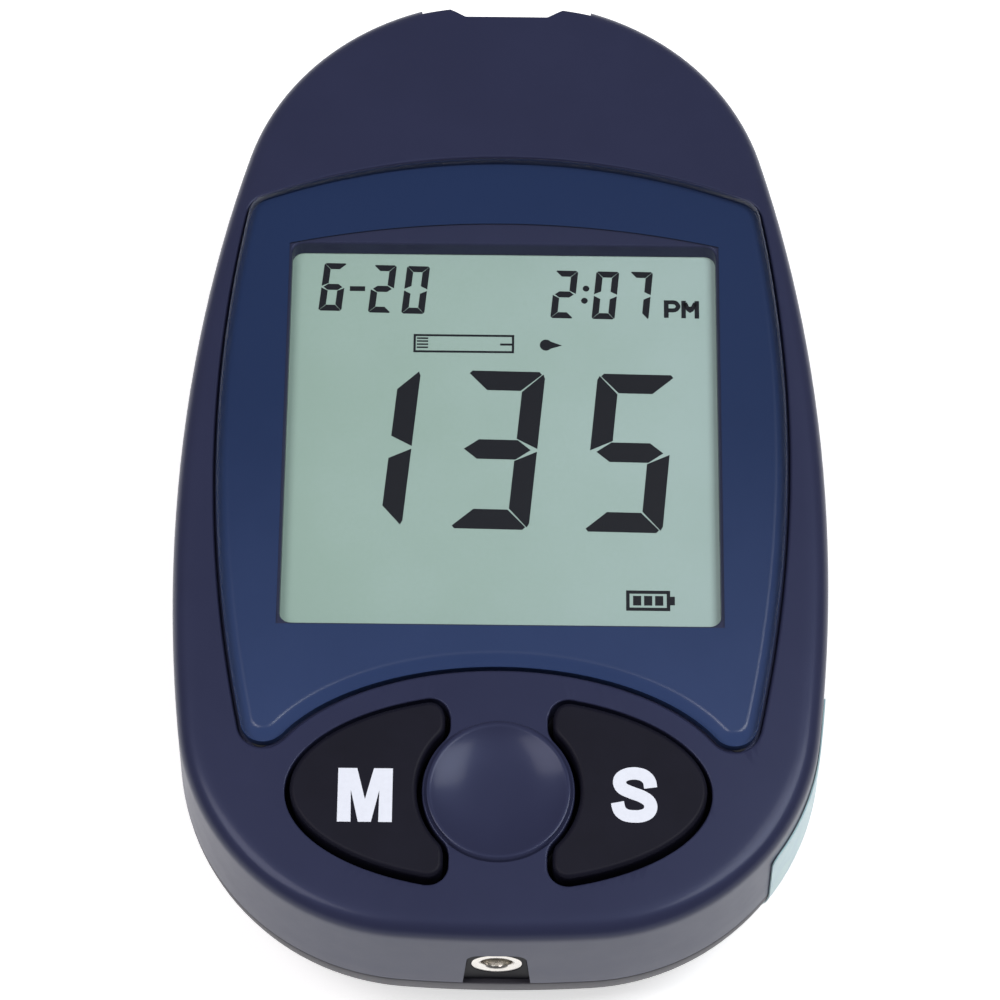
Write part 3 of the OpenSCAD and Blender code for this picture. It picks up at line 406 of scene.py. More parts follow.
class Bench:
    """Models one piece at a time, as by hand."""

    @staticmethod
    def clear() -> None:
        """Deselects everything, in object mode."""
        if bpy.context.object and bpy.context.object.mode != "OBJECT":
            bpy.ops.object.mode_set(mode="OBJECT")
        bpy.ops.object.select_all(action="DESELECT")

    @staticmethod
    def pick(piece: Piece) -> None:
        """Selects one piece and makes it the active one.

        Args:
            piece: The piece.
        """
        Bench.clear()
        piece.select_set(True)
        bpy.context.view_layer.objects.active = piece

    @staticmethod
    def loft(name: str, rings: Sequence[Sequence[Place]], peak: bool = False) -> Piece:
        """A closed solid, extruded from ring to ring.

        Args:
            name: The piece's name.
            rings: Rings with as many places each.
            peak: Whether the last ring is drawn together to a point.

        Returns:
            The solid.
        """
        Bench.clear()
        bpy.ops.mesh.primitive_circle_add(vertices=len(rings[0]), radius=1, fill_type="NGON")
        piece = bpy.context.object
        piece.name = name
        bpy.ops.object.mode_set(mode="EDIT")
        mesh = bmesh.from_edit_mesh(piece.data)
        order = mesh.verts.layers.int.new("order")
        for i, vert in enumerate(mesh.verts):
            vert[order] = i
            vert.co = rings[0][i]
        bmesh.update_edit_mesh(piece.data)
        for ring in rings[1:]:
            bpy.ops.mesh.extrude_region_move()
            mesh = bmesh.from_edit_mesh(piece.data)
            order = mesh.verts.layers.int["order"]
            for vert in mesh.verts:
                if vert.select:
                    vert.co = ring[vert[order]]
            bmesh.update_edit_mesh(piece.data)
        if peak:
            bpy.ops.mesh.merge(type="CENTER")
        bpy.ops.mesh.select_all(action="SELECT")
        bpy.ops.mesh.normals_make_consistent(inside=False)
        bpy.ops.object.mode_set(mode="OBJECT")
        piece.data.attributes.remove(piece.data.attributes["order"])
        return piece

    @staticmethod
    def prism(name: str, outline: Sequence[Point], low: float, high: float) -> Piece:
        """An outline extruded from one height to another."""
        return Bench.loft(name, [level(outline, low), level(outline, high)])

    @staticmethod
    def block(name: str, low: Place, high: Place) -> Piece:
        """A block between two corners.

        Args:
            name: The block's name.
            low: The corner with the least coordinates.
            high: The opposite corner.

        Returns:
            The block.
        """
        Bench.clear()
        centre = [(a + b) / 2 for a, b in zip(low, high)]
        bpy.ops.mesh.primitive_cube_add(size=1, location=centre)
        piece = bpy.context.object
        piece.name = name
        piece.scale = [b - a for a, b in zip(low, high)]
        bpy.ops.object.transform_apply(location=True, rotation=True, scale=True)
        return piece

    @staticmethod
    def rod(name: str, radius: float, low: float, high: float, centre: Point = (0.0, 0.0),
            steps: int = 64) -> Piece:
        """An upright cylinder from one height to another."""
        return Bench.prism(name, circle(centre, radius, steps), low, high)

    @staticmethod
    def lathe(name: str, profile: Sequence[Point], steps: int = 72) -> Piece:
        """A closed profile spun round the upright axis.

        Args:
            name: The piece's name.
            profile: Radius and height of each point of the closed profile.
            steps: The number of steps in the turn.

        Returns:
            The turned piece, its axis on the origin.
        """
        Bench.clear()
        bpy.ops.mesh.primitive_circle_add(vertices=len(profile), radius=1, fill_type="NOTHING")
        piece = bpy.context.object
        piece.name = name
        bpy.ops.object.mode_set(mode="EDIT")
        mesh = bmesh.from_edit_mesh(piece.data)
        for vert, (radius, height) in zip(mesh.verts, profile):
            vert.co = (radius, 0, height)
        bmesh.update_edit_mesh(piece.data)
        bpy.ops.mesh.spin(steps=steps, angle=math.tau, center=(0, 0, 0), axis=(0, 0, 1))
        bpy.ops.mesh.select_all(action="SELECT")
        bpy.ops.mesh.remove_doubles(threshold=1e-4)
        bpy.ops.mesh.dissolve_degenerate(threshold=1e-5)
        bpy.ops.mesh.select_all(action="SELECT")
        bpy.ops.mesh.normals_make_consistent(inside=False)
        bpy.ops.object.mode_set(mode="OBJECT")
        return piece

    @staticmethod
    def place(piece: Piece, matrix: Matrix) -> Piece:
        """Moves or turns a piece and applies the move to its mesh.

        Args:
            piece: The piece.
            matrix: The move or turn.

        Returns:
            The piece.
        """
        Bench.pick(piece)
        piece.matrix_world = matrix @ piece.matrix_world
        bpy.ops.object.transform_apply(location=True, rotation=True, scale=True)
        return piece

    @staticmethod
    def combine(piece: Piece, tools: Sequence[Piece], how: Blend) -> Piece:
        """Cuts, joins or intersects a piece with tools, and removes the tools.

        Args:
            piece: The piece that is changed.
            tools: The solids that it is combined with, in turn.
            how: How it is combined.

        Returns:
            The piece.
        """
        for tool in tools:
            Bench.pick(piece)
            modifier = piece.modifiers.new("combine", "BOOLEAN")
            modifier.operation = how.value
            modifier.solver = "EXACT"
            modifier.object = tool
            bpy.ops.object.modifier_apply(modifier=modifier.name)
            mesh = tool.data
            bpy.data.objects.remove(tool)
            bpy.data.meshes.remove(mesh)
        return piece

    @staticmethod
    def cut(piece: Piece, *tools: Piece) -> Piece:
        """Cuts tools out of a piece."""
        return Bench.combine(piece, tools, Blend.CUT)

    @staticmethod
    def join(piece: Piece, *tools: Piece) -> Piece:
        """Joins solids to a piece."""
        return Bench.combine(piece, tools, Blend.JOIN)

    @staticmethod
    def common(piece: Piece, *tools: Piece) -> Piece:
        """Keeps what a piece has in common with each tool."""
        return Bench.combine(piece, tools, Blend.COMMON)

    @staticmethod
    def soften(piece: Piece, width: float, segments: int = 2, angle: float = 40.0) -> Piece:
        """Rounds a piece's sharp edges.

        Args:
            piece: The piece.
            width: The width of the rounding.
            segments: The number of steps across it.
            angle: Edges sharper than this are rounded, in degrees.

        Returns:
            The piece.
        """
        Bench.pick(piece)
        modifier = piece.modifiers.new("soften", "BEVEL")
        modifier.width = width
        modifier.segments = segments
        modifier.limit_method = "ANGLE"
        modifier.angle_limit = math.radians(angle)
        modifier.use_clamp_overlap = True
        modifier.harden_normals = False
        bpy.ops.object.modifier_apply(modifier=modifier.name)
        return piece

    @staticmethod
    def merge(name: str, pieces: Sequence[Piece]) -> Piece:
        """Puts several separate solids in one mesh.

        Args:
            name: The name of the whole.
            pieces: The solids.

        Returns:
            The piece that holds them all.
        """
        Bench.clear()
        for piece in pieces:
            piece.select_set(True)
        bpy.context.view_layer.objects.active = pieces[0]
        if len(pieces) > 1:
            bpy.ops.object.join()
        pieces[0].name = name
        return pieces[0]


def strip_notch() -> Piece:
    """The cutter of the recess over the strip port and of the notch in it.

    Returns:
        The cutter.
    """
    flat, slope, recess, depth, half, bend_r = 3.8, 1.4, 1.45, 1.25, 7.8, 0.5
    floor_z, over = 15.2, 30.0
    radius, middle = FORM.strip_end_r - recess, FORM.half_l - FORM.strip_end_r
    low, far = middle + radius - depth, FORM.half_l + 2
    rim = [(x, middle + math.sqrt(radius**2 - x * x)) for x in span(flat + slope, half, 8)]
    turn = heading((flat, low), rim[0])
    reach = bend_r * math.tan(math.radians(turn / 2))
    bend = arc((flat - reach, low + bend_r), bend_r, -90, turn - 90, 4)
    right = bend + rim + [(half, far)]
    return Bench.prism("strip_notch", mirrored(right) + right, floor_z, over)


def flared(name: str, outline: list[Point], low: float, rim: float) -> Piece:
    """A cutter whose sides open out to a rounded rim where they meet the face.

    Args:
        name: The cutter's name.
        outline: The hole's outline.
        low: The cutter's lower end.
        rim: The radius of the rim.

    Returns:
        The cutter.
    """
    over, past = 26.0, 0.25

    def lying(by: float, rise: float) -> list[Place]:
        """The outline grown by a distance and laid over the face."""
        return [(x, y, FORM.face_at(x, y) + rise) for x, y in grown(outline, by)]

    rings = [level(outline, low), lying(0, -rim)]
    rings += [lying(rim * (1 - cosine(turn)), rim * (sine(turn) - 1)) for turn in (15, 30, 45, 60, 75, 85)]
    rings += [lying(rim + past, past), level(grown(outline, rim + past), over)]
    return Bench.loft(name, rings)


# ---- Finishes ----
class Shading:
    """The node tree of a material or of the world, filled step by step."""

    def __init__(self, owner: bpy.types.ID) -> None:
        """Empties the owner's tree.

        Args:
            owner: The material or the world.
        """
        owner.use_nodes = True
        self.tree = owner.node_tree
        self.tree.nodes.clear()

    def add(self, kind: str, inputs: dict[str | int, Any] | None = None, **settings: Any) -> bpy.types.Node:
        """Adds a node.

        Args:
            kind: Blender's name for the kind of node.
            inputs: A value or another node's output for each named input.
            settings: The node's own settings.

        Returns:
            The node.
        """
        node = self.tree.nodes.new(kind)
        for name, value in settings.items():
            setattr(node, name, value)
        for name, value in (inputs or {}).items():
            if isinstance(value, Socket):
                self.tree.links.new(value, node.inputs[name])
            else:
                node.inputs[name].default_value = value
        return node

    def ramp(self, value: Any, *stops: tuple[float, Colour]) -> Socket:
        """A colour that follows a value through stops.

        Args:
            value: The value.
            stops: The position and the colour of each stop.

        Returns:
            The colour.
        """
        node = self.add("ShaderNodeValToRGB", {0: value})
        elements = node.color_ramp.elements
        while len(elements) < len(stops):
            elements.new(0.5)
        for element, (position, colour) in zip(elements, stops):
            element.position, element.color = position, (*colour, 1)
        return node.outputs[0]


class Surface(Shading):
    """A material's nodes."""

    def __init__(self, name: str) -> None:
        """Starts an empty material.

        Args:
            name: Its name.
        """
        self.material = bpy.data.materials.new(name)
        super().__init__(self.material)
        self.place = self.add("ShaderNodeTexCoord").outputs["Object"]

    def math(self, operation: str, a: Any, b: Any = 0.0) -> Socket:
        """The result of a sum, product or other operation on two values."""
        return self.add("ShaderNodeMath", {0: a, 1: b}, operation=operation).outputs[0]

    def noise(self, size: float, detail: float = 2.0, roughness: float = 0.5,
              stretch: Place = (1.0, 1.0, 1.0)) -> Socket:
        """A noise from 0 to 1.

        Args:
            size: The size of its spots, in millimetres.
            detail: How many finer layers it has.
            roughness: How strong they are.
            stretch: How much finer it is along each axis.

        Returns:
            The noise's value.
        """
        mapping = self.add("ShaderNodeMapping", {"Vector": self.place, "Scale": stretch})
        return self.add("ShaderNodeTexNoise", {"Vector": mapping.outputs[0], "Scale": 1 / (size * MM),
                                               "Detail": detail, "Roughness": roughness}).outputs[0]

    def axis(self, number: int) -> Socket:
        """The place along an axis: 0 for X, 1 for Y and 2 for Z."""
        return self.add("ShaderNodeSeparateXYZ", {0: self.place}).outputs[number]

    def between(self, value: Any, low: float, high: float) -> Socket:
        """A value from 0 to 1 spread from low to high."""
        return self.add("ShaderNodeMapRange", {"Value": value, "To Min": low, "To Max": high}).outputs[0]

    def share(self, value: Any, low: float, high: float) -> Socket:
        """How far a place along an axis lies from low to high, in millimetres, as 0 to 1."""
        inputs = {"Value": value, "From Min": low * MM, "From Max": high * MM}
        return self.add("ShaderNodeMapRange", inputs).outputs[0]

    def bump(self, height: Any, strength: float, depth: float) -> Socket:
        """A normal that follows a height.

        Args:
            height: The height's value.
            strength: How much of it shows.
            depth: The depth of a full step, in millimetres.

        Returns:
            The normal.
        """
        inputs = {"Height": height, "Strength": strength, "Distance": depth * MM}
        return self.add("ShaderNodeBump", inputs).outputs[0]

    def shine(self, **inputs: Any) -> Socket:
        """A Principled surface. An input's spaces are written as underscores."""
        named = {name.replace("_", " "): value for name, value in inputs.items()}
        return self.add("ShaderNodeBsdfPrincipled", named).outputs[0]

    def close(self, shader: Socket) -> bpy.types.Material:
        """Ends the tree with its output and gives the material."""
        self.add("ShaderNodeOutputMaterial", {"Surface": shader})
        return self.material


def shade(colour: Colour, by: float) -> Colour:
    """A colour made lighter or darker by a factor."""
    return colour[0] * by, colour[1] * by, colour[2] * by


@dataclass(frozen=True)
class MouldedPlastic:
    """Injection-moulded plastic: faint flow mottling and a fine spark-eroded grain.

    Dust adds rare pale specks, and sheen adds a thin glossier skin.
    """

    name: str
    colour: Colour
    roughness: float = 0.42
    mottle: float = 0.05
    grain: float = 0.22
    depth: float = 0.004
    dust: float = 0.0
    mirror: float = 0.4
    tint: Colour = (1.0, 1.0, 1.0)
    sheen: float = 0.0
    sheen_roughness: float = 0.16

    def material(self) -> bpy.types.Material:
        """Builds the finish.

        Returns:
            The material.
        """
        s = Surface(self.name)
        flow = s.noise(9.0, 3.0, 0.6)
        colour = s.ramp(flow, (0.25, shade(self.colour, 1 - self.mottle)),
                        (0.75, shade(self.colour, 1 + self.mottle)))
        if self.dust:
            specks = s.add("ShaderNodeTexVoronoi", {"Vector": s.place, "Scale": 1 / (3.5 * MM)})
            near = s.math("LESS_THAN", specks.outputs["Distance"], 0.016)
            chance = s.add("ShaderNodeSeparateColor", {0: specks.outputs["Color"]}).outputs[0]
            rare = s.math("GREATER_THAN", chance, 0.9)
            fleck = s.math("MULTIPLY", s.math("MULTIPLY", near, rare), self.dust)
            mix = s.add("ShaderNodeMix", {0: fleck, 6: colour, 7: (0.4, 0.4, 0.45, 1)}, data_type="RGBA")
            colour = mix.outputs[2]
        rough = s.between(s.noise(2.5, 4.0, 0.6), self.roughness - 0.04, self.roughness + 0.04)
        grain = s.noise(self.grain, 2.0)
        skin = s.bump(grain, 0.35, self.depth)
        return s.close(s.shine(Base_Color=colour, Roughness=rough, Specular_IOR_Level=self.mirror,
                               Specular_Tint=(*self.tint, 1), Normal=skin, Coat_Weight=self.sheen,
                               Coat_Roughness=self.sheen_roughness))


@dataclass(frozen=True)
class SiliconeRubber:
    """Moulded silicone rubber with a soft, slightly cloudy skin."""

    name: str
    colour: Colour
    roughness: float = 0.5
    mirror: float = 0.4

    def material(self) -> bpy.types.Material:
        """Builds the finish.

        Returns:
            The material.
        """
        s = Surface(self.name)
        cloud = s.noise(4.0, 4.0, 0.65)
        colour = s.ramp(cloud, (0.3, shade(self.colour, 0.9)), (0.7, shade(self.colour, 1.12)))
        rough = s.between(s.noise(0.8, 3.0), self.roughness - 0.05, self.roughness + 0.05)
        skin = s.bump(s.noise(0.12, 2.0), 0.4, 0.003)
        return s.close(s.shine(Base_Color=colour, Roughness=rough, Specular_IOR_Level=self.mirror,
                               Normal=skin))


@dataclass(frozen=True)
class PlatedMetal:
    """Sheet or turned metal, drawn along one axis, with a rolled or turned grain."""

    name: str
    colour: Colour
    roughness: float = 0.25
    draw: Place = (1.0, 0.08, 1.0)

    def material(self) -> bpy.types.Material:
        """Builds the finish.

        Returns:
            The material.
        """
        s = Surface(self.name)
        lines = s.noise(0.12, 3.0, 0.6, self.draw)
        stain = s.noise(2.0, 3.0, 0.55)
        colour = s.ramp(stain, (0.3, shade(self.colour, 0.88)), (0.7, self.colour))
        rough = s.between(lines, self.roughness - 0.08, self.roughness + 0.1)
        skin = s.bump(lines, 0.25, 0.003)
        return s.close(s.shine(Base_Color=colour, Metallic=1.0, Roughness=rough, Normal=skin))


@dataclass(frozen=True)
class ClearAcrylic:
    """Polished clear acrylic: what lies below shows through, and the skin mirrors softly."""

    name: str
    roughness: float = 0.28
    strength: float = 0.55
    head_on: float = 0.04

    def material(self) -> bpy.types.Material:
        """Builds the finish.

        Returns:
            The material.
        """
        s = Surface(self.name)
        wave = s.bump(s.noise(14.0, 1.0), 0.1, 0.02)
        gloss = s.add("ShaderNodeBsdfGlossy", {"Color": (1, 1, 1, 1), "Roughness": self.roughness,
                                               "Normal": wave}).outputs[0]
        clear = s.add("ShaderNodeBsdfTransparent", {"Color": (0.97, 0.985, 1.0, 1)}).outputs[0]
        facing = s.add("ShaderNodeLayerWeight", {"Blend": 0.5, "Normal": wave}).outputs["Facing"]
        slanting = s.math("MULTIPLY", s.math("POWER", facing, 5.0), 1 - self.head_on)
        mirrored_share = s.math("MULTIPLY", s.math("ADD", slanting, self.head_on), self.strength)
        return s.close(s.add("ShaderNodeMixShader", {0: mirrored_share, 1: clear, 2: gloss}).outputs[0])


@dataclass(frozen=True)
class ClearUnderside:
    """The bonded underside of clear acrylic, which mirrors nothing."""

    name: str

    def material(self) -> bpy.types.Material:
        """Builds the finish.

        Returns:
            The material.
        """
        s = Surface(self.name)
        tint = s.ramp(s.noise(8.0, 2.0), (0.3, (0.98, 0.985, 0.99)), (0.7, (0.99, 0.995, 1.0)))
        return s.close(s.add("ShaderNodeBsdfTransparent", {"Color": tint}).outputs[0])


@dataclass(frozen=True)
class BackPrint:
    """Ink printed on the underside of the lens, with painted light that makes it a little lighter towards the
    keys.
    """

    name: str
    far: Colour
    near: Colour
    ends: Point = (-29, 27)

    def material(self) -> bpy.types.Material:
        """Builds the finish.

        Returns:
            The material.
        """
        s = Surface(self.name)
        # Painted light: the print runs from its far colour to a lighter near colour towards the keys, as if
        # lit more there.
        along = s.share(s.axis(1), *self.ends)
        ink_and_painted_light = s.math("ADD", along, s.between(s.noise(5.0, 3.0), -0.08, 0.08))
        colour = s.ramp(ink_and_painted_light, (0.0, self.near), (0.55, self.far), (1.0, self.far))
        return s.close(s.shine(Base_Color=colour, Roughness=0.5, Specular_IOR_Level=0.05))


@dataclass(frozen=True)
class LiquidCrystal:
    """A reflective liquid crystal display at rest: grey-green, with the reflector's paper-like grain, and
    with painted light that makes it lighter towards the right.
    """

    name: str
    left: Colour
    right: Colour
    ends: Point = (-20, 20)

    def material(self) -> bpy.types.Material:
        """Builds the finish.

        Returns:
            The material.
        """
        s = Surface(self.name)
        # Painted light: the colour runs from the left tone to the lighter right tone across the display.
        across = s.share(s.axis(0), *self.ends)
        grain = s.between(s.noise(0.35, 3.0, 0.7), -0.35, 0.35)
        cloud = s.between(s.noise(7.0, 2.0), -0.3, 0.3)
        value = s.math("ADD", s.math("ADD", across, grain), cloud)
        colour = s.ramp(value, (0.0, self.left), (1.0, self.right))
        skin = s.bump(s.noise(0.3, 2.0), 0.2, 0.003)
        return s.close(s.shine(Base_Color=colour, Roughness=0.3, Normal=skin))


@dataclass(frozen=True)
class Ink:
    """Printed or driven marks: flat, dense and almost even."""

    name: str
    colour: Colour
    roughness: float = 0.4
    mirror: float = 0.4

    def material(self) -> bpy.types.Material:
        """Builds the finish.

        Returns:
            The material.
        """
        s = Surface(self.name)
        density = s.noise(0.5, 3.0, 0.6)
        colour = s.ramp(density, (0.3, shade(self.colour, 0.95)), (0.7, self.colour))
        return s.close(s.shine(Base_Color=colour, Roughness=self.roughness, Specular_IOR_Level=self.mirror,
                               Normal=s.bump(density, 0.1, 0.002)))


@dataclass(frozen=True)
class LabelFilm:
    """The film of a bare label: a cloudy colour between two tints, over a faint fibre."""

    name: str
    colour: Colour
    tint: Colour
    roughness: float = 0.3

    def material(self) -> bpy.types.Material:
        """Builds the finish.

        Returns:
            The material.
        """
        s = Surface(self.name)
        cloud = s.noise(2.2, 3.0, 0.6)
        colour = s.ramp(cloud, (0.35, self.tint), (0.65, self.colour))
        fibre = s.bump(s.noise(0.2, 3.0, 0.6, (1.0, 1.0, 0.4)), 0.3, 0.003)
        return s.close(s.shine(Base_Color=colour, Roughness=self.roughness, Normal=fibre))


@dataclass(frozen=True)
class CircuitBoard:
    """Solder mask over copper tracks that show as lighter lines."""

    name: str
    mask: Colour
    track: Colour

    def material(self) -> bpy.types.Material:
        """Builds the finish.

        Returns:
            The material.
        """
        s = Surface(self.name)
        grid = s.add("ShaderNodeTexVoronoi", {"Vector": s.place, "Scale": 1 / (2.6 * MM), "Randomness": 0.6},
                     distance="CHEBYCHEV", feature="F2")
        steps = s.math("FRACT", s.math("MULTIPLY", grid.outputs["Distance"], 3.0))
        line = s.math("GREATER_THAN", steps, 0.72)
        colour = s.ramp(line, (0.4, self.mask), (0.6, self.track))
        return s.close(s.shine(Base_Color=colour, Roughness=0.3, Normal=s.bump(line, 0.5, 0.02)))


@dataclass(frozen=True)
class StripedRubber:
    """A connector strip of thin conducting and insulating layers."""

    name: str
    body: Colour
    layer: Colour
    pitch: float = 0.2

    def material(self) -> bpy.types.Material:
        """Builds the finish.

        Returns:
            The material.
        """
        s = Surface(self.name)
        layers = s.math("MULTIPLY", s.axis(0), 1 / (self.pitch * MM))
        line = s.math("GREATER_THAN", s.math("FRACT", layers), 0.5)
        colour = s.ramp(line, (0.4, self.body), (0.6, self.layer))
        return s.close(s.shine(Base_Color=colour, Roughness=0.55))


class Finish(Enum):
    """The finishes of the meter."""

    CASE_FRONT = MouldedPlastic("case_front_plastic", (0.026, 0.029, 0.064), 0.38, dust=0.5, mirror=0.2,
                                tint=(0.5, 0.6, 1.0), sheen=0.13)
    CASE_BACK = MouldedPlastic("case_back_plastic", (0.030, 0.028, 0.040), 0.5, grain=0.35, depth=0.012)
    PORT = MouldedPlastic("port_plastic", (0.024, 0.027, 0.058), 0.42, mirror=0.3, tint=(0.55, 0.62, 1.0))
    BLACK = MouldedPlastic("black_moulding", (0.010, 0.010, 0.013), 0.4)
    JACK = MouldedPlastic("jack_moulding", (0.004, 0.004, 0.007), 0.5, mirror=0.06)
    CHIP_CARRIER = MouldedPlastic("code_chip_plastic", (0.03, 0.033, 0.045), 0.45)
    FRAME = MouldedPlastic("frame_moulding", (0.62, 0.62, 0.58), 0.5)
    CONNECTOR = MouldedPlastic("connector_plastic", (0.7, 0.68, 0.6), 0.4)
    RESIN = MouldedPlastic("moulded_resin", (0.016, 0.016, 0.018), 0.55, depth=0.01)
    CERAMIC = MouldedPlastic("capacitor_ceramic", (0.4, 0.27, 0.16), 0.5)
    KEY = SiliconeRubber("key_silicone", (0.0072, 0.007, 0.0145), 0.5, 0.12)
    MAT = SiliconeRubber("mat_rubber", (0.13, 0.135, 0.16), 0.6)
    ZEBRA = StripedRubber("zebra_rubber", (0.6, 0.3, 0.34), (0.03, 0.03, 0.03))
    CLEAR = ClearAcrylic("clear_acrylic")
    CLEAR_UNDER = ClearUnderside("clear_acrylic_underside")
    # The print's near and far colours differ by painted light: it is lighter towards the keys.
    NAVY = BackPrint("lens_print", (0.014, 0.030, 0.088), (0.030, 0.052, 0.135))
    # The display's and the rear glass's left and right colours differ by painted light: both are lighter
    # towards the right.
    DISPLAY = LiquidCrystal("liquid_crystal", (0.345, 0.47, 0.385), (0.41, 0.53, 0.475))
    GLASS_BACK = LiquidCrystal("rear_glass", (0.28, 0.38, 0.33), (0.30, 0.40, 0.36))
    REFLECTOR = Ink("reflector_film", (0.6, 0.62, 0.6), 0.35)
    SEGMENT = Ink("display_segments", (0.013, 0.014, 0.018), 0.35, 0.12)
    LETTER = Ink("key_letters", (0.82, 0.85, 0.93), 0.45)
    ADHESIVE = Ink("lens_adhesive", (0.02, 0.02, 0.025), 0.7)
    SEAL = LabelFilm("seal_film", (0.50, 0.72, 0.72), (0.42, 0.63, 0.68))
    LABEL = LabelFilm("back_label_film", (0.66, 0.68, 0.7), (0.6, 0.62, 0.65), 0.45)
    BOARD = CircuitBoard("solder_mask", (0.012, 0.09, 0.035), (0.03, 0.16, 0.06))
    NICKEL = PlatedMetal("nickel_plate", (0.70, 0.67, 0.62), 0.2)
    STEEL = PlatedMetal("steel_plate", (0.56, 0.56, 0.57), 0.28)
    CELL = PlatedMetal("cell_steel", (0.62, 0.62, 0.63), 0.22, (1.0, 1.0, 0.1))
    GOLD = PlatedMetal("gold_plate", (0.83, 0.60, 0.25), 0.25)

    @property
    def material(self) -> bpy.types.Material:
        """The material, built when it is first asked for."""
        found = bpy.data.materials.get(self.value.name)
        return found or self.value.material()


class Body(Enum):
    """The rigid bodies of the frame."""

    METER = "meter"
    MEMORY_KEY = "memory_key"
    SET_KEY = "set_key"
    DOOR = "door"
    CHIP = "chip"


def dress(piece: Piece, finish: Finish, body: Body, replaces: Sequence[str] = (),
          smooth: float = 32.0, even: bool = True) -> Piece:
    """Finishes a piece: to metres, smooth, in its material and on its body.

    Args:
        piece: The modelled piece, in millimetres.
        finish: Its finish.
        body: The body that it moves with.
        replaces: The CAD nodes that it stands for.
        smooth: Edges sharper than this stay sharp, in degrees.
        even: Whether large faces keep their own normals.

    Returns:
        The piece.
    """
    Bench.place(piece, Matrix.Scale(MM, 4))
    Bench.pick(piece)
    bpy.ops.object.shade_smooth_by_angle(angle=math.radians(smooth), keep_sharp_edges=False)
    if even:
        modifier = piece.modifiers.new("even", "WEIGHTED_NORMAL")
        modifier.keep_sharp = True
        modifier.weight = 80
        bpy.ops.object.modifier_apply(modifier=modifier.name)
    piece.data.name = piece.name
    piece.data.materials.clear()
    piece.data.materials.append(finish.material)
    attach(piece, body.value)
    if replaces:
        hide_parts(*replaces)
    log.info("%s: %d faces, %s", piece.name, len(piece.data.polygons), finish.name)
    return piece


def dress_node(node: str, finish: Finish) -> None:
    """Gives a CAD node its finish.

    Args:
        node: The node's name.
        finish: Its finish.
    """
    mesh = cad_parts[node].data
    mesh.materials.clear()
    mesh.materials.append(finish.material)
    log.info("%s: carried over, %s", node, finish.name)


# ---- Sub-assemblies ----
@dataclass
class Fixings:
    """Where the shells and the board are screwed together.

    A screw's cross is the half width, the half length and the depth of its slots.
    """

    bosses: tuple[Point, ...] = ((15.18, 31.53), (-15.18, 31.53), (20.65, -28.6), (-20.65, -28.6))
    posts: tuple[Point, ...] = ((9.0, 28.95), (-9.0, 28.95), (0.0, -24.15))
    boss_r: float = 2.4
    post_r: float = 1.9
    screw_r: float = 1.03
    head_r: float = 1.9
    head_h: float = 1.4
    seat_z: float = 4.2
    shank_r: float = 1.0
    tip_r: float = 0.6
    tip_l: float = 0.5
    tip_z: float = 13.5
    cross: Place = (0.25, 1.15, 0.75)
    column_r: float = 2.9
    column_bore_r: float = 1.15
    head_bore_r: float = 2.1
    boss_bore_top: float = 14.5
    boss_under: float = 1.0
    post_low: float = 10.4
    post_under: float = 1.2
    post_bore_r: float = 0.83
    post_bore: Point = (9.4, 14.4)

    def screws(self) -> None:
        """Models a case screw once and copies it to each boss."""
        low = self.seat_z - self.head_h
        profile = [(0, low + 0.06), (0.9, low + 0.04), (1.55, low + 0.12), (1.82, low + 0.34),
                   (self.head_r, low + 0.62), (self.head_r, self.seat_z), (self.shank_r, self.seat_z),
                   (self.shank_r, self.tip_z - self.tip_l), (self.tip_r, self.tip_z), (0, self.tip_z)]
        screw = Bench.lathe("case_screw_1", profile, 48)
        half_w, half_l, depth = self.cross
        for turn in (0, 90):
            slot = Bench.block("slot", (-half_w, -half_l, low - 1), (half_w, half_l, low + depth))
            Bench.cut(screw, Bench.place(slot, Matrix.Rotation(math.radians(turn), 4, "Z")))
        for i, (x, y) in enumerate(self.bosses[1:], 2):
            copy = screw.copy()
            copy.data = screw.data.copy()
            copy.name = f"case_screw_{i}"
            bpy.context.collection.objects.link(copy)
            Bench.place(copy, Matrix.Translation((x, y, 0)))
            dress(copy, Finish.STEEL, Body.METER)
        Bench.place(screw, Matrix.Translation((*self.bosses[0], 0)))
        dress(screw, Finish.STEEL, Body.METER, ["case_screws"])


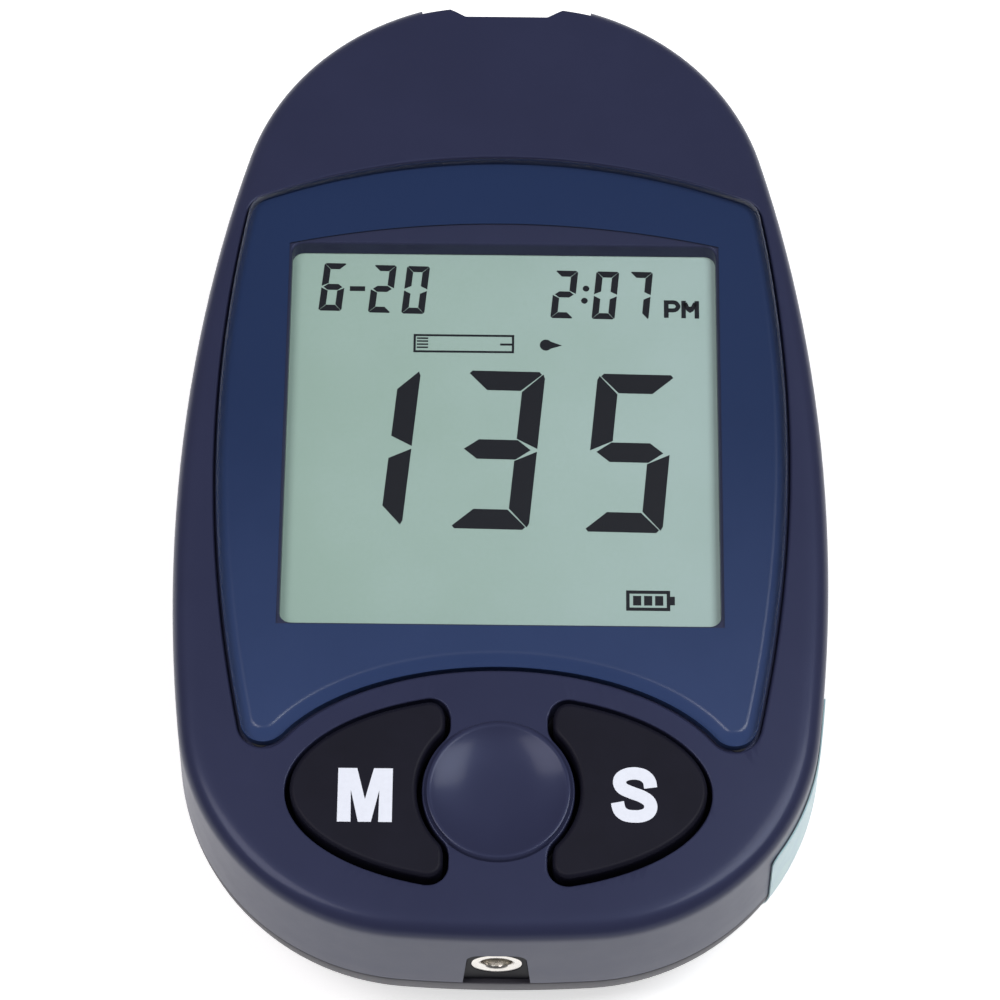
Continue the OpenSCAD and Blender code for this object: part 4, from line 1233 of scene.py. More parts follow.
@dataclass
class KeyPad:
    """The two crescent keys, their holes and their letters."""

    centre_y: float = -33.1
    oval_w: float = 35.8
    oval_l: float = 17.5
    hollow_r: float = 6.4
    bridge: float = 4.1
    tip_r: float = 1.7
    gap: float = 0.45
    flange: float = 0.9
    flange_low: float = 17.2
    flange_high: float = 18.0
    stem_low: float = 14.9
    stem_r: float = 3.0
    top_z: float = 21.49
    edge_r: float = 0.42
    letter_rise: float = 0.015
    letter_sink: float = 0.02
    m_place: Point = (-11.12, -36.19)
    s_place: Point = (11.32, -33.55)
    s_pen: float = 1.1

    def hole(self) -> list[Point]:
        """The outline of the right key's hole.

        Returns:
            The outline, anticlockwise.
        """
        half_w, half_l, middle, bridge = self.oval_w / 2, self.oval_l / 2, self.centre_y, self.bridge
        start = math.degrees(math.acos(bridge / half_w))
        oval = ellipse(half_w, half_l, middle, span(-start, start, 600))
        drop = half_l * sine(start)
        dip = math.sqrt(self.hollow_r**2 - bridge**2)
        upper = [(bridge, y) for y in span(middle + drop, middle + dip, 60)]
        turn = math.degrees(math.acos(bridge / self.hollow_r))
        hollow = ellipse(self.hollow_r, self.hollow_r, middle, span(turn, -turn, 240))
        lower = [(x, 2 * middle - y) for x, y in reversed(upper)]
        return rounded([oval, upper, hollow, lower], self.tip_r, 7)

    def key(self, name: str, outline: list[Point], side: int) -> Piece:
        """Models a key: flange, body with soft edges, and stem.

        Args:
            name: The key's name.
            outline: Its hole's outline.
            side: 1 for the right key, -1 for the left one.

        Returns:
            The key.
        """
        flange, body = grown(outline, self.flange), grown(outline, -self.gap)
        edge_z = self.top_z - self.edge_r
        rings = [level(flange, self.flange_low), level(flange, self.flange_high),
                 level(body, self.flange_high), level(body, edge_z)]
        for turn in range(15, 91, 15):
            inset = self.gap + self.edge_r * (1 - cosine(turn))
            rings.append(level(grown(outline, -inset), edge_z + self.edge_r * sine(turn)))
        key = Bench.loft(name, rings)
        centre = (side * (self.bridge + self.oval_w / 2) / 2, self.centre_y)
        return Bench.join(key, Bench.rod("stem", self.stem_r, self.stem_low, self.flange_low + 0.1, centre))

    def letter(self, name: str, outline: list[Point], body: Body) -> None:
        """Prints a letter on a key."""
        letter = Bench.prism(name, outline, self.top_z - self.letter_sink, self.top_z + self.letter_rise)
        dress(letter, Finish.LETTER, body, even=False)

    def build(self) -> None:
        """Builds both keys and their letters."""
        right = self.hole()
        dress(self.key("set_key", right, 1), Finish.KEY, Body.SET_KEY, ["set_button"])
        dress(self.key("memory_key", mirrored(right), -1), Finish.KEY, Body.MEMORY_KEY,
              ["memory_button"])
        self.letter("memory_letter", self.letter_m(), Body.MEMORY_KEY)
        self.letter("set_letter", self.letter_s(), Body.SET_KEY)

    def letter_m(self) -> list[Point]:
        """The outline of the letter M.

        Returns:
            The closed outline.
        """
        right = [(0.54, 0.0), (1.19, 2.83), (1.15, 0.0), (2.28, 0.0), (2.28, 4.76), (0.7, 4.76)]
        return moved(right + [(0.0, 2.0)] + mirrored(right), *self.m_place)

    def letter_s(self) -> list[Point]:
        """The outline of the letter S.

        Returns:
            The closed outline.
        """
        line = [(1.38, 0.62), (1.24, 1.28), (0.78, 1.74), (0.05, 1.9), (-0.68, 1.78), (-1.14, 1.42),
                (-1.2, 0.95), (-0.92, 0.52), (-0.2, 0.18), (0.6, -0.13), (1.18, -0.52), (1.38, -1.04),
                (1.2, -1.56), (0.66, -1.86), (0.0, -1.92), (-0.7, -1.82), (-1.2, -1.42), (-1.4, -0.68)]
        return moved(ribbon(line, self.s_pen), *self.s_place)


@dataclass
class Lens:
    """The shield-shaped lens, its printed border and the recess that it sits in.

    The points of edge and skirt are insets of the lens's outline and heights.
    """

    keys: KeyPad
    form: CaseForm = FORM
    reach: float = 27.7
    top_r: float = 60.0
    width: float = 49.7
    side_r: float = 125.0
    corner_r: float = 2.0
    land: float = 2.4
    gap: float = 0.25
    rim_r: float = 0.3
    seat_z: float = 19.9
    clear_under: float = 20.12
    side_turns: Point = (-15.3, 11.1)
    top_turns: Point = (67.0, 113.0)
    window_half: float = 19.2
    window_low: float = -17.75
    window_top: float = 21.5
    window_bow: float = 0.0059
    edge: tuple[Point, ...] = ((0.05, 20.09), (0, 20.14), (0, 21.02), (0.03, 21.12), (0.1, 21.22),
                               (0.24, 21.36), (0.45, 21.54), (0.65, 21.69), (0.8, 21.795),
                               (0.92, 21.86), (1.05, 21.89), (1.2, 21.9))
    skirt: tuple[Point, ...] = ((0.12, 20.055), (0.03, 20.055), (0.03, 20.98), (0.07, 20.98),
                                (0.07, 20.085), (0.12, 20.085))

    def outline(self) -> list[Point]:
        """The lens's outline: bowed sides, an arched top and a hollow lower edge round the keys.

        Returns:
            The outline, anticlockwise.
        """
        bow = (self.width / 2 - self.side_r, 0.0)
        right = [at_turn(bow, self.side_r, turn) for turn in span(*self.side_turns, 960)]
        top = ellipse(self.top_r, self.top_r, self.reach - self.top_r, span(*self.top_turns, 800))
        half_w, half_l = self.keys.oval_w / 2 + self.land, self.keys.oval_l / 2 + self.land
        low = ellipse(half_w, half_l, self.keys.centre_y, span(180, 0, 850))
        return rounded([right, top, mirrored(right), low], self.corner_r, 14)

    def recess(self, outline: list[Point]) -> Piece:
        """The cutter of the recess."""
        return flared("recess", grown(outline, self.gap), self.seat_z, self.rim_r)

    def layers(self, outline: list[Point], profile: Sequence[Point]) -> list[list[Place]]:
        """Rings at the insets and heights of a profile."""
        return [level(grown(outline, -inset), z) for inset, z in profile]

    def build(self) -> None:
        """Builds the lens and its print."""
        outline = self.outline()
        lens = Bench.loft("display_lens_body", self.layers(outline, self.edge))
        dress(lens, Finish.CLEAR, Body.METER, ["display_lens"])
        lens.data.materials.append(Finish.CLEAR_UNDER.material)
        for face in lens.data.polygons:
            if face.center.z < self.clear_under * MM:
                face.material_index = 1
        self.build_print(outline)

    def build_print(self, outline: list[Point]) -> None:
        """Builds the navy print under the lens, with its skirt and its clear window.

        Args:
            outline: The lens's outline.
        """
        sheet = Bench.loft("lens_print", self.layers(outline, self.skirt))
        half, low = self.window_half, self.window_low
        arch = [(x, self.window_top - self.window_bow * x * x) for x in span(half, -half, 40)]
        window = [(-half, low), (half, low)] + arch
        below, above = 19.0, 22.0
        Bench.cut(sheet, Bench.prism("window", window, below, above))
        dress(sheet, Finish.NAVY, Body.METER, even=False)


@dataclass
class CaseFront:
    """The front shell: display recess, window, key holes, dish and the two ports."""

    lens: Lens
    keys: KeyPad
    fixings: Fixings
    form: CaseForm = FORM
    inner_edge_r: float = 0.8
    window: Point = (37.9, 36.9)
    window_y: float = 0.95
    window_r: float = 1.0
    window_lean: float = 0.35
    pocket: Point = (44.0, 46.2)
    pocket_z: float = 18.7
    dish_r: float = 5.7
    dish_depth: float = 0.8
    dish_seat: Point = (6.05, 19.4)
    dish_foot: Point = (6.3, 19.2)
    dish_steps: int = 96
    lip_h: float = 0.35
    key_rim_r: float = 0.14
    cutter_top: float = 24.0
    jack_low: float = 9.0
    jack_top: float = 15.7
    jack_half: float = 2.925
    jack_lean: float = 0.4
    jack_corner_r: float = 1.2
    bezel_half: float = 7.8
    bezel_back: float = 42.3
    bezel_top: float = 17.2
    port_low: float = 8.0

    def shell(self) -> Piece:
        """The plain shell: inner face, inner wall, seam, outer wall, rounded edge and face.

        Returns:
            The shell.
        """
        form = self.form
        inset = form.wall + form.lean + self.inner_edge_r
        roof = form.face_z - form.roof
        inner = form.ring(inset)
        rings = [form.lifted(shrunk(inner, k), roof, roof) for k in (0.05, 0.35, 0.7)]
        for turn in (90, 67.5, 45, 22.5, 0):
            outline = form.ring(inset - self.inner_edge_r * cosine(turn))
            rings.append(form.lifted(outline, roof - self.inner_edge_r * (1 - sine(turn)), roof))
        seam = form.seam_z
        rings += [level(form.ring(by), seam + rise)
                  for by, rise in ((form.wall, 0), (0.16, 0), (0.05, 0.04), (0.005, 0.16))]
        for k in (0.25, 0.5, 0.75):
            rings.append(form.lifted(form.ring(form.lean * k), seam + (form.edge_z - seam) * k, form.face_z))
        for turn in range(0, 91, 9):
            outline = form.ring(form.lean + form.edge_r * (1 - cosine(turn) ** form.edge_full))
            height = form.edge_z + form.edge_r * sine(turn) ** form.edge_full
            rings.append(form.lifted(outline, height, form.face_z))
        top = form.ring(form.lean + form.edge_r)
        for k in (0.985, 0.96, 0.92, 0.86, 0.8, 0.7, 0.6, 0.5, 0.4, 0.3, 0.2, 0.1):
            rings.append(form.lifted(shrunk(top, k), form.face_z, form.face_z))
        return Bench.loft("case_front_shell", rings, peak=True)

    def window_cutter(self) -> Piece:
        """The cutter of the display window, with a soft rim at the lens's seat.

        Returns:
            The cutter.
        """
        seat, rim, past = self.lens.seat_z, 0.25, 0.2

        def shape(by: float, lean: float = 0.0) -> list[Point]:
            """The window grown by a distance, its upper wall drawn down by the lean."""
            return plate_outline(self.window[0] + 2 * by, self.window[1] + 2 * by - lean, self.window_r + by,
                                 (0.0, self.window_y - lean / 2))

        rings = [level(shape(0, self.window_lean), z) for z in (self.form.seam_z, self.pocket_z)]
        rings.append(level(shape(0), seat - rim))
        rings += [level(shape(rim * (1 - cosine(turn))), seat - rim + rim * sine(turn))
                  for turn in (30, 60, 84)]
        rings += [level(shape(rim + past), z) for z in (seat + past, self.cutter_top)]
        return Bench.loft("window", rings)

    def dish(self) -> Piece:
        """The dish: a lip that grows out of the face, and the hollow inside it.

        Returns:
            The dish, with a foot that reaches down into the shell.
        """
        centre = (0.0, self.keys.centre_y)
        top = self.form.face_at(*centre) + self.lip_h
        (foot_r, foot_z), steps = self.dish_foot, self.dish_steps
        rings = [level(circle(centre, foot_r, steps), foot_z)]
        for radius, rise in ((foot_r, -0.03), (6.27, 0.005), (6.24, 0.04)):
            rings.append([(x, y, self.form.face_at(x, y) + rise) for x, y in circle(centre, radius, steps)])
        lip = [(6.2, 0.235), (6.15, 0.16), (6.09, 0.085), (6.01, 0.035), (5.93, 0.008), (5.85, 0.0),
               (5.76, 0.012)]
        rings += [level(circle(centre, radius, steps), top - drop) for radius, drop in lip]
        hollow_top = top - 0.02
        for radius in (5.68, 5.6, 5.5, 5.3, 5.1, 4.85, 4.6, 4.3, *span(4.0, 0.4, 9)):
            drop = self.dish_depth * (1 - (radius / self.dish_r) ** 3)
            rings.append(level(circle(centre, radius, steps), hollow_top - drop))
        return Bench.loft("dish", rings, peak=True)

    def jack_notch(self, shrink: float) -> list[Point]:
        """The data jack's notch, drawn in X and Z.

        Args:
            shrink: How much smaller it is on every side.

        Returns:
            The outline.
        """
        half, low, top = self.jack_half - shrink, self.jack_low + shrink, self.jack_top - shrink
        soft, wide = self.jack_corner_r, half - self.jack_lean
        side = [(wide - soft * (1 - cosine(turn)), top - soft * (1 - sine(turn))) for turn in span(0, 90, 8)]
        return [(half, low)] + side + mirrored(side)[1:] + [(-half, low)]

    def build(self) -> None:
        """Builds the front shell."""
        shell = self.shell()
        Bench.cut(shell, self.lens.recess(self.lens.outline()), self.window_cutter())
        low, half_w, half_l = self.form.seam_z, self.pocket[0] / 2, self.pocket[1] / 2
        Bench.cut(shell, Bench.block("pocket", (-half_w, self.window_y - half_l, low),
                                     (half_w, self.window_y + half_l, self.pocket_z)))
        seat_r, seat_z = self.dish_seat
        centre = (0, self.keys.centre_y)
        Bench.cut(shell, Bench.rod("dish_seat", seat_r, seat_z, self.cutter_top, centre, self.dish_steps))
        Bench.join(shell, self.dish())
        right = self.keys.hole()
        holes = [flared("hole", outline, low, self.key_rim_r) for outline in (right, mirrored(right))]
        Bench.cut(shell, Bench.merge("holes", holes))
        self.ports(shell)
        self.fasten(shell)
        dress(shell, Finish.CASE_FRONT, Body.METER, ["front_case"])

    def ports(self, shell: Piece) -> None:
        """Cuts the openings of the data jack and the strip port.

        Args:
            shell: The front shell.
        """
        notch = self.jack_notch(0)
        far = self.form.half_l + 2
        below = self.jack_low - 0.5
        through = [(x, below if z == self.jack_low else z) for x, z in notch]
        Bench.cut(shell, Bench.loft("notch", [[(x, y, z) for x, z in through]
                                              for y in (-far, self.form.wall + 1 - self.form.half_l)]))
        x, y, z = self.bezel_half, self.bezel_back, self.bezel_top
        side, deep, roof, lap = 0.6, 2.0, 1.8, 0.2
        Bench.join(shell, Bench.block("port_wall", (-x - side, y, z - lap), (x + side, y + deep, z + roof)))
        Bench.cut(shell, Bench.block("port", (-x, y - lap, self.port_low), (x, far, z)), strip_notch())

    def fasten(self, shell: Piece) -> None:
        """Adds the screw bosses and the board posts, with their holes.

        Args:
            shell: The front shell.
        """
        fixings, form = self.fixings, self.form
        rods = [Bench.rod("boss", fixings.boss_r, form.seam_z,
                          form.face_at(*place) - fixings.boss_under, place, 40) for place in fixings.bosses]
        rods += [Bench.rod("post", fixings.post_r, fixings.post_low,
                           form.face_at(*place) - fixings.post_under, place, 40) for place in fixings.posts]
        Bench.join(shell, Bench.merge("rods", rods))
        holes = [Bench.rod("hole", fixings.screw_r, form.seam_z - 1, fixings.boss_bore_top, place, 32)
                 for place in fixings.bosses]
        holes += [Bench.rod("hole", fixings.post_bore_r, *fixings.post_bore, place, 32)
                  for place in fixings.posts]
        Bench.cut(shell, Bench.merge("holes", holes))


@dataclass
class BackPlate:
    """The size and place of the bare plate on the back, and of its recess."""

    width: float = 30.0
    length: float = 24.0
    corner_r: float = 1.5
    middle_y: float = 10.715
    recess_z: float = 0.17
    gap: float = 0.15

    def outline(self, by: float = 0.0) -> list[Point]:
        """The plate's outline, grown by a distance."""
        width, length = self.width + 2 * by, self.length + 2 * by
        return plate_outline(width, length, self.corner_r + by, (0.0, self.middle_y))


@dataclass
class CaseBack:
    """The back shell, with the battery bay and the slot of the code chip."""

    fixings: Fixings
    plate: BackPlate
    form: CaseForm = FORM
    door_w: float = 31.0
    door_gap: float = 0.15
    door_edge_y: float = -12.1
    door_flat_y: float = -37.1
    far_end: float = 49.0
    inner_w: float = 27.0
    cell: Point = (0.0, -25.6)
    bay_r: float = 10.35
    bay_top: float = 7.5
    bay_wall: float = 1.1
    bay_end: float = -46.0
    rail_roof: float = 4.1
    cell_roof: float = 8.3
    plate_top: float = 1.05
    rail: Point = (1.85, 2.85)
    lip_top: float = 6.35
    chip_slot: tuple[Place, Place] = ((-31.0, 4.4, 5.2), (-22.03, 15.6, 8.2))

    def solid(self, inset: float = 0.0, step: int = 6) -> Piece:
        """The back's outer form, filled.

        Args:
            inset: How far it lies inside the back's outside.
            step: The step in degrees of the rounding.

        Returns:
            The solid.
        """
        form = self.form
        rings = []
        for turn in range(90, -1, -step):
            outline = form.ring(inset + form.back_round * (1 - cosine(turn)))
            rings.append(level(outline, inset + (form.seam_z - inset) * (1 - sine(turn))))
        return Bench.loft("back_solid", rings)

    def shell(self) -> Piece:
        """The plain shell, from the bottom up the outside and down the inside.

        Returns:
            The shell.
        """
        form, seam = self.form, self.form.seam_z
        rings = [level(form.ring(form.back_round * (1 - cosine(turn))), seam * (1 - sine(turn)))
                 for turn in range(90, 5, -6)]
        rings += [level(form.ring(by), seam - drop)
                  for by, drop in ((0.005, 0.2), (0.05, 0.06), (0.16, 0.01), (form.wall, 0.01))]
        deep = seam - form.wall
        rings += [level(form.ring(form.wall + form.back_round * (1 - cosine(turn))), seam - deep * sine(turn))
                  for turn in range(15, 91, 15)]
        return Bench.loft("case_back_shell", rings)

    def door_space(self) -> Piece:
        """The room that the door slides in.

        Returns:
            The cutter.
        """
        outer, inner = self.door_w / 2 + self.door_gap, self.inner_w / 2 + self.door_gap
        edge, (rail_low, rail_top) = self.door_edge_y + self.door_gap, self.rail
        spaces = [(outer, -1, edge, self.plate_top), (inner, -1.1, edge, rail_top),
                  (outer, rail_low, edge, rail_top), (outer, -1, self.door_flat_y, self.lip_top)]
        blocks = [Bench.block("space", (-half, -self.far_end, low), (half, end, top))
                  for half, low, end, top in spaces]
        return Bench.join(blocks[0], *blocks[1:])

    def build(self) -> None:
        """Builds the back shell."""
        fixings, wall, end = self.fixings, self.bay_wall, self.bay_end
        shell = self.shell()
        half = self.door_w / 2 + wall
        bay = Bench.block("bay", (-half, end, self.plate_top),
                          (half, self.door_edge_y + wall, self.rail_roof))
        lip_end, lip_top = self.door_flat_y + wall, self.lip_top + wall
        Bench.join(bay, Bench.block("lip", (-half, end, 1.1), (half, lip_end, lip_top)),
                   Bench.rod("cell", self.bay_r + wall, 1.2, self.cell_roof, self.cell, 72))
        columns = [Bench.rod("column", fixings.column_r, 0.3, self.form.seam_z - 0.01, place, 40)
                   for place in fixings.bosses]
        Bench.join(bay, Bench.merge("columns", columns))
        Bench.common(bay, self.solid(0.4, 9))
        Bench.join(shell, bay)
        Bench.cut(shell, self.door_space(), Bench.rod("cell", self.bay_r, 0, self.bay_top, self.cell, 72))
        over = self.form.seam_z + 1
        holes = [Bench.rod("hole", fixings.column_bore_r, -1, over, place, 32) for place in fixings.bosses]
        Bench.cut(shell, Bench.merge("holes", holes))
        heads = [Bench.rod("head", fixings.head_bore_r, -1, fixings.seat_z, place, 40)
                 for place in fixings.bosses]
        Bench.cut(shell, Bench.merge("heads", heads))
        y = self.cell[1]
        slots = [Bench.block("spring_slot", (-2, y - 7, 6.2), (2, y + 2.5, over)),
                 Bench.block("clip_slot", (9.35, y - 2, 3.0), (10.95, y + 2, over)),
                 Bench.block("chip_slot", *self.chip_slot)]
        Bench.cut(shell, Bench.merge("slots", slots))
        recess = self.plate.outline(self.plate.gap)
        Bench.cut(shell, Bench.prism("label_recess", recess, -1, self.plate.recess_z))
        dress(shell, Finish.CASE_BACK, Body.METER, ["back_case"])
        self.fixings.screws()


@dataclass
class Battery:
    """The battery door and the coin cell."""

    back: CaseBack
    cell_r: float = 10.0
    cell_z: float = 3.0
    cell_t: float = 3.2
    grooves: int = 4
    groove_r: float = 0.45
    groove_pitch: float = 2.0
    skin: float = 0.9
    rail: Point = (2.0, 2.7)
    rail_gap: float = 0.15
    lip_top: float = 6.2
    lip_wall: float = 1.8

    def door(self) -> None:
        """Builds the door: plate, neck, rails, lip and thumb grooves."""
        back = self.back
        outer, inner, edge, flat = back.door_w / 2, back.inner_w / 2, back.door_edge_y, back.door_flat_y
        far, (rail_low, rail_top) = -back.far_end, self.rail
        rail_half, hollow_half = outer - self.rail_gap, outer - self.lip_wall
        door = Bench.block("battery_door_cover", (-outer, far, -1), (outer, edge, self.skin))
        Bench.join(door, Bench.block("neck", (-inner, flat - 1, -0.9), (inner, edge, rail_top)),
                   Bench.block("rails", (-rail_half, flat - 1, rail_low), (rail_half, edge, rail_top)),
                   Bench.block("lip", (-outer, far, -0.8), (outer, flat - 1, self.lip_top)))
        Bench.common(door, back.solid(0.0, 6))
        hollow = back.solid(back.form.wall, 10)
        Bench.common(hollow, Bench.block("bound", (-hollow_half, -48, 1.7), (hollow_half, flat - 2.2, 9.5)))
        Bench.cut(door, hollow)
        rods = []
        for i in range(self.grooves):
            rod = Bench.rod("groove", self.groove_r, -inner / 2, inner / 2, (0, 0), 24)
            Bench.place(rod, Matrix.Rotation(math.radians(90), 4, "Y"))
            rods.append(Bench.place(rod, Matrix.Translation((0, flat + 4 + self.groove_pitch * i, 0))))
        Bench.cut(door, Bench.merge("grooves", rods))
        dress(door, Finish.CASE_BACK, Body.DOOR, ["battery_door"])

    def cell(self) -> None:
        """Builds the coin cell: a can with a rolled rim, a gasket groove and a cap."""
        r, low, top = self.cell_r, self.cell_z, self.cell_z + self.cell_t
        profile = [(0, low), (8.9, low), (9.3, low + 0.02), (9.8, low + 0.2), (r, low + 0.5), (r, top - 1.0),
                   (9.93, top - 0.72), (9.75, top - 0.62), (9.2, top - 0.6), (9.1, top - 0.75),
                   (8.85, top - 0.75), (8.8, top - 0.3), (8.72, top - 0.08), (8.5, top), (0, top)]
        cell = Bench.lathe("coin_cell_can", profile, 96)
        Bench.place(cell, Matrix.Translation((*self.back.cell, 0)))
        dress(cell, Finish.CELL, Body.METER, ["coin_cell"], smooth=40)

    def build(self) -> None:
        """Builds the door and the cell."""
        self.door()
        self.cell()


@dataclass
class StripPort:
    """The mouth that the test strip goes into."""

    form: CaseForm = FORM
    half: float = 7.6
    back: float = 42.35
    low: float = 9.05
    top: float = 17.0
    slot_z: float = 13.35
    slot: Point = (6.4, 1.1)
    mouth: Point = (7.4, 2.5)
    throat_y: float = 44.2
    mouth_y: float = 45.1
    corner_r: float = 0.35
    edge_r: float = 0.15
    case_gap: float = 0.05

    def build(self) -> None:
        """Builds the bezel, with a mouth that narrows to the slot."""
        outline = self.form.ring(self.form.lean + self.case_gap)
        bezel = Bench.prism("strip_port_mouth", outline, self.low, self.top)
        Bench.cut(bezel, strip_notch())
        Bench.common(bezel, Bench.block("bound", (-self.half, self.back, 8), (self.half, 49, 18)))
        Bench.soften(bezel, self.edge_r, 2)
        rings = []
        for y, size in ((41, self.slot), (self.throat_y, self.slot), (self.mouth_y, self.mouth),
                        (48, self.mouth)):
            rings.append([(x, y, z) for x, z in plate_outline(*size, self.corner_r, (0.0, self.slot_z))])
        Bench.cut(bezel, Bench.loft("mouth", rings), Bench.block("board_room", (-9, 42, 8), (9, 43.3, 10.6)))
        dress(bezel, Finish.PORT, Body.METER, ["strip_port_bezel"])


@dataclass
class DataJack:
    """The data socket: black body, nickel sleeve and the dark bore."""

    front: CaseFront
    axis_z: float = 13.0
    face_y: float = -45.65
    block_y: float = -43.3
    end_y: float = -34.45
    half: float = 2.9
    bore_r: float = 1.31
    depth: float = 10.0
    sleeve_r: float = 2.175
    sleeve_l: float = 1.5
    sleeve_gap: float = 0.03
    block: Point = (10.4, 15.6)
    notch_gap: float = 0.1

    def along(self, piece: Piece) -> Piece:
        """Lays an upright turned piece along the jack's axis, its foot in the face."""
        turn = Matrix.Translation((0, self.face_y, self.axis_z)) @ Matrix.Rotation(math.radians(-90), 4, "X")
        return Bench.place(piece, turn)

    def build(self) -> None:
        """Builds the body and the sleeve."""
        notch, (low, high) = self.front.jack_notch(self.notch_gap), self.block
        body = Bench.loft("data_jack_block", [[(x, y, z) for x, z in notch]
                                              for y in (self.face_y, self.block_y)])
        Bench.join(body, Bench.block("case", (-self.half, self.block_y - 0.01, low),
                                     (self.half, self.end_y, high)))
        Bench.cut(body, self.along(Bench.rod("bore", self.bore_r, -1, self.depth, steps=48)))
        seat_r = self.sleeve_r + self.sleeve_gap
        Bench.cut(body, self.along(Bench.rod("seat", seat_r, -1, self.sleeve_l, steps=64)))
        dress(body, Finish.JACK, Body.METER, ["data_jack_body"])
        r, b, length = self.sleeve_r, self.bore_r, self.sleeve_l
        profile = [(b, length), (b, 0.28), (b + 0.05, 0.14), (b + 0.16, 0.04), (b + 0.3, 0.0), (r - 0.1, 0.0),
                   (r - 0.03, 0.03), (r, 0.1), (r, length)]
        sleeve = self.along(Bench.lathe("data_jack_ring", profile, 96))
        dress(sleeve, Finish.NICKEL, Body.METER, ["data_jack_sleeve"], smooth=50)


@dataclass
class CodeChip:
    """The small plug-in chip that carries the code of a batch of strips."""

    form: CaseForm = FORM
    half_l: float = 5.4
    middle_y: float = 10.0
    low: float = 5.4
    high: float = 8.0
    end_x: float = -12.67
    sunk: float = 0.1
    edge_r: float = 0.2

    def build(self) -> None:
        """Builds the chip's carrier, whose outer end follows the case's side with soft edges."""
        outline = self.form.ring(self.form.back_inset((self.low + self.high) / 2) + self.sunk)
        chip = Bench.prism("code_chip_carrier", outline, self.low, self.high)
        Bench.common(chip, Bench.block("bound", (-31, self.middle_y - self.half_l, 0),
                                       (self.end_x, self.middle_y + self.half_l, 20)))
        Bench.soften(chip, self.edge_r, 3)
        dress(chip, Finish.CHIP_CARRIER, Body.CHIP, ["code_chip"])


@dataclass
class Labels:
    """The bare seal over the seam and the bare plate on the back."""

    back_plate: BackPlate
    form: CaseForm = FORM
    thickness: float = 0.12
    under: float = 0.04
    seal_top: float = 16.6
    seal_low: float = 4.5
    corner_r: float = 0.8
    seal_from: float = 48.0
    seal_past: float = 2.0

    def seal_line(self, inset: float, cut: float) -> list[Point]:
        """A line along the right lower side, at an inset of the outline.

        Args:
            inset: How far the line lies inside the outline.
            cut: By how many degrees the line is shorter at both ends.

        Returns:
            The line's points.
        """
        centres, radii, angles = self.form.turns()
        start, turn = angles[1] + self.seal_from + cut, angles[2]
        end = turn + self.seal_past - cut * radii[1] / radii[2]
        line = arc(centres[1], radii[1] - inset, start, turn, 18)
        return line + [at_turn(centres[2], radii[2] - inset, t) for t in span(turn, end, 12)]

    def seal(self) -> None:
        """Builds the seal, wrapped round the wall and the back's rounding."""
        rings = []
        low, top, soft = self.seal_low, self.seal_top, self.corner_r
        heights = span(low, low + soft, 4) + span(6, 16, 12)[1:-1] + span(top - soft, top, 4)
        for z in heights:
            near = min(z - low, top - z, soft)
            shorter = soft - math.sqrt(max(0.0, soft**2 - (soft - near) ** 2))
            cut = math.degrees(shorter / self.form.data_corner_r)
            inset = self.form.wall_inset(z) - self.under
            outer = self.seal_line(inset - self.thickness, cut)
            inner = self.seal_line(inset, cut)
            rings.append(level(outer + inner[::-1], z))
        dress(Bench.loft("side_seal", rings), Finish.SEAL, Body.METER, ["seal_label"])

    def plate(self) -> None:
        """Builds the bare plate on the back."""
        outline, top = self.back_plate.outline(), self.back_plate.recess_z
        rings = [level(grown(outline, -0.04), 0.05), level(outline, 0.09), level(outline, top)]
        dress(Bench.loft("back_plate", rings), Finish.LABEL, Body.METER, ["back_label"])

    def build(self) -> None:
        """Builds both labels."""
        self.seal()
        self.plate()


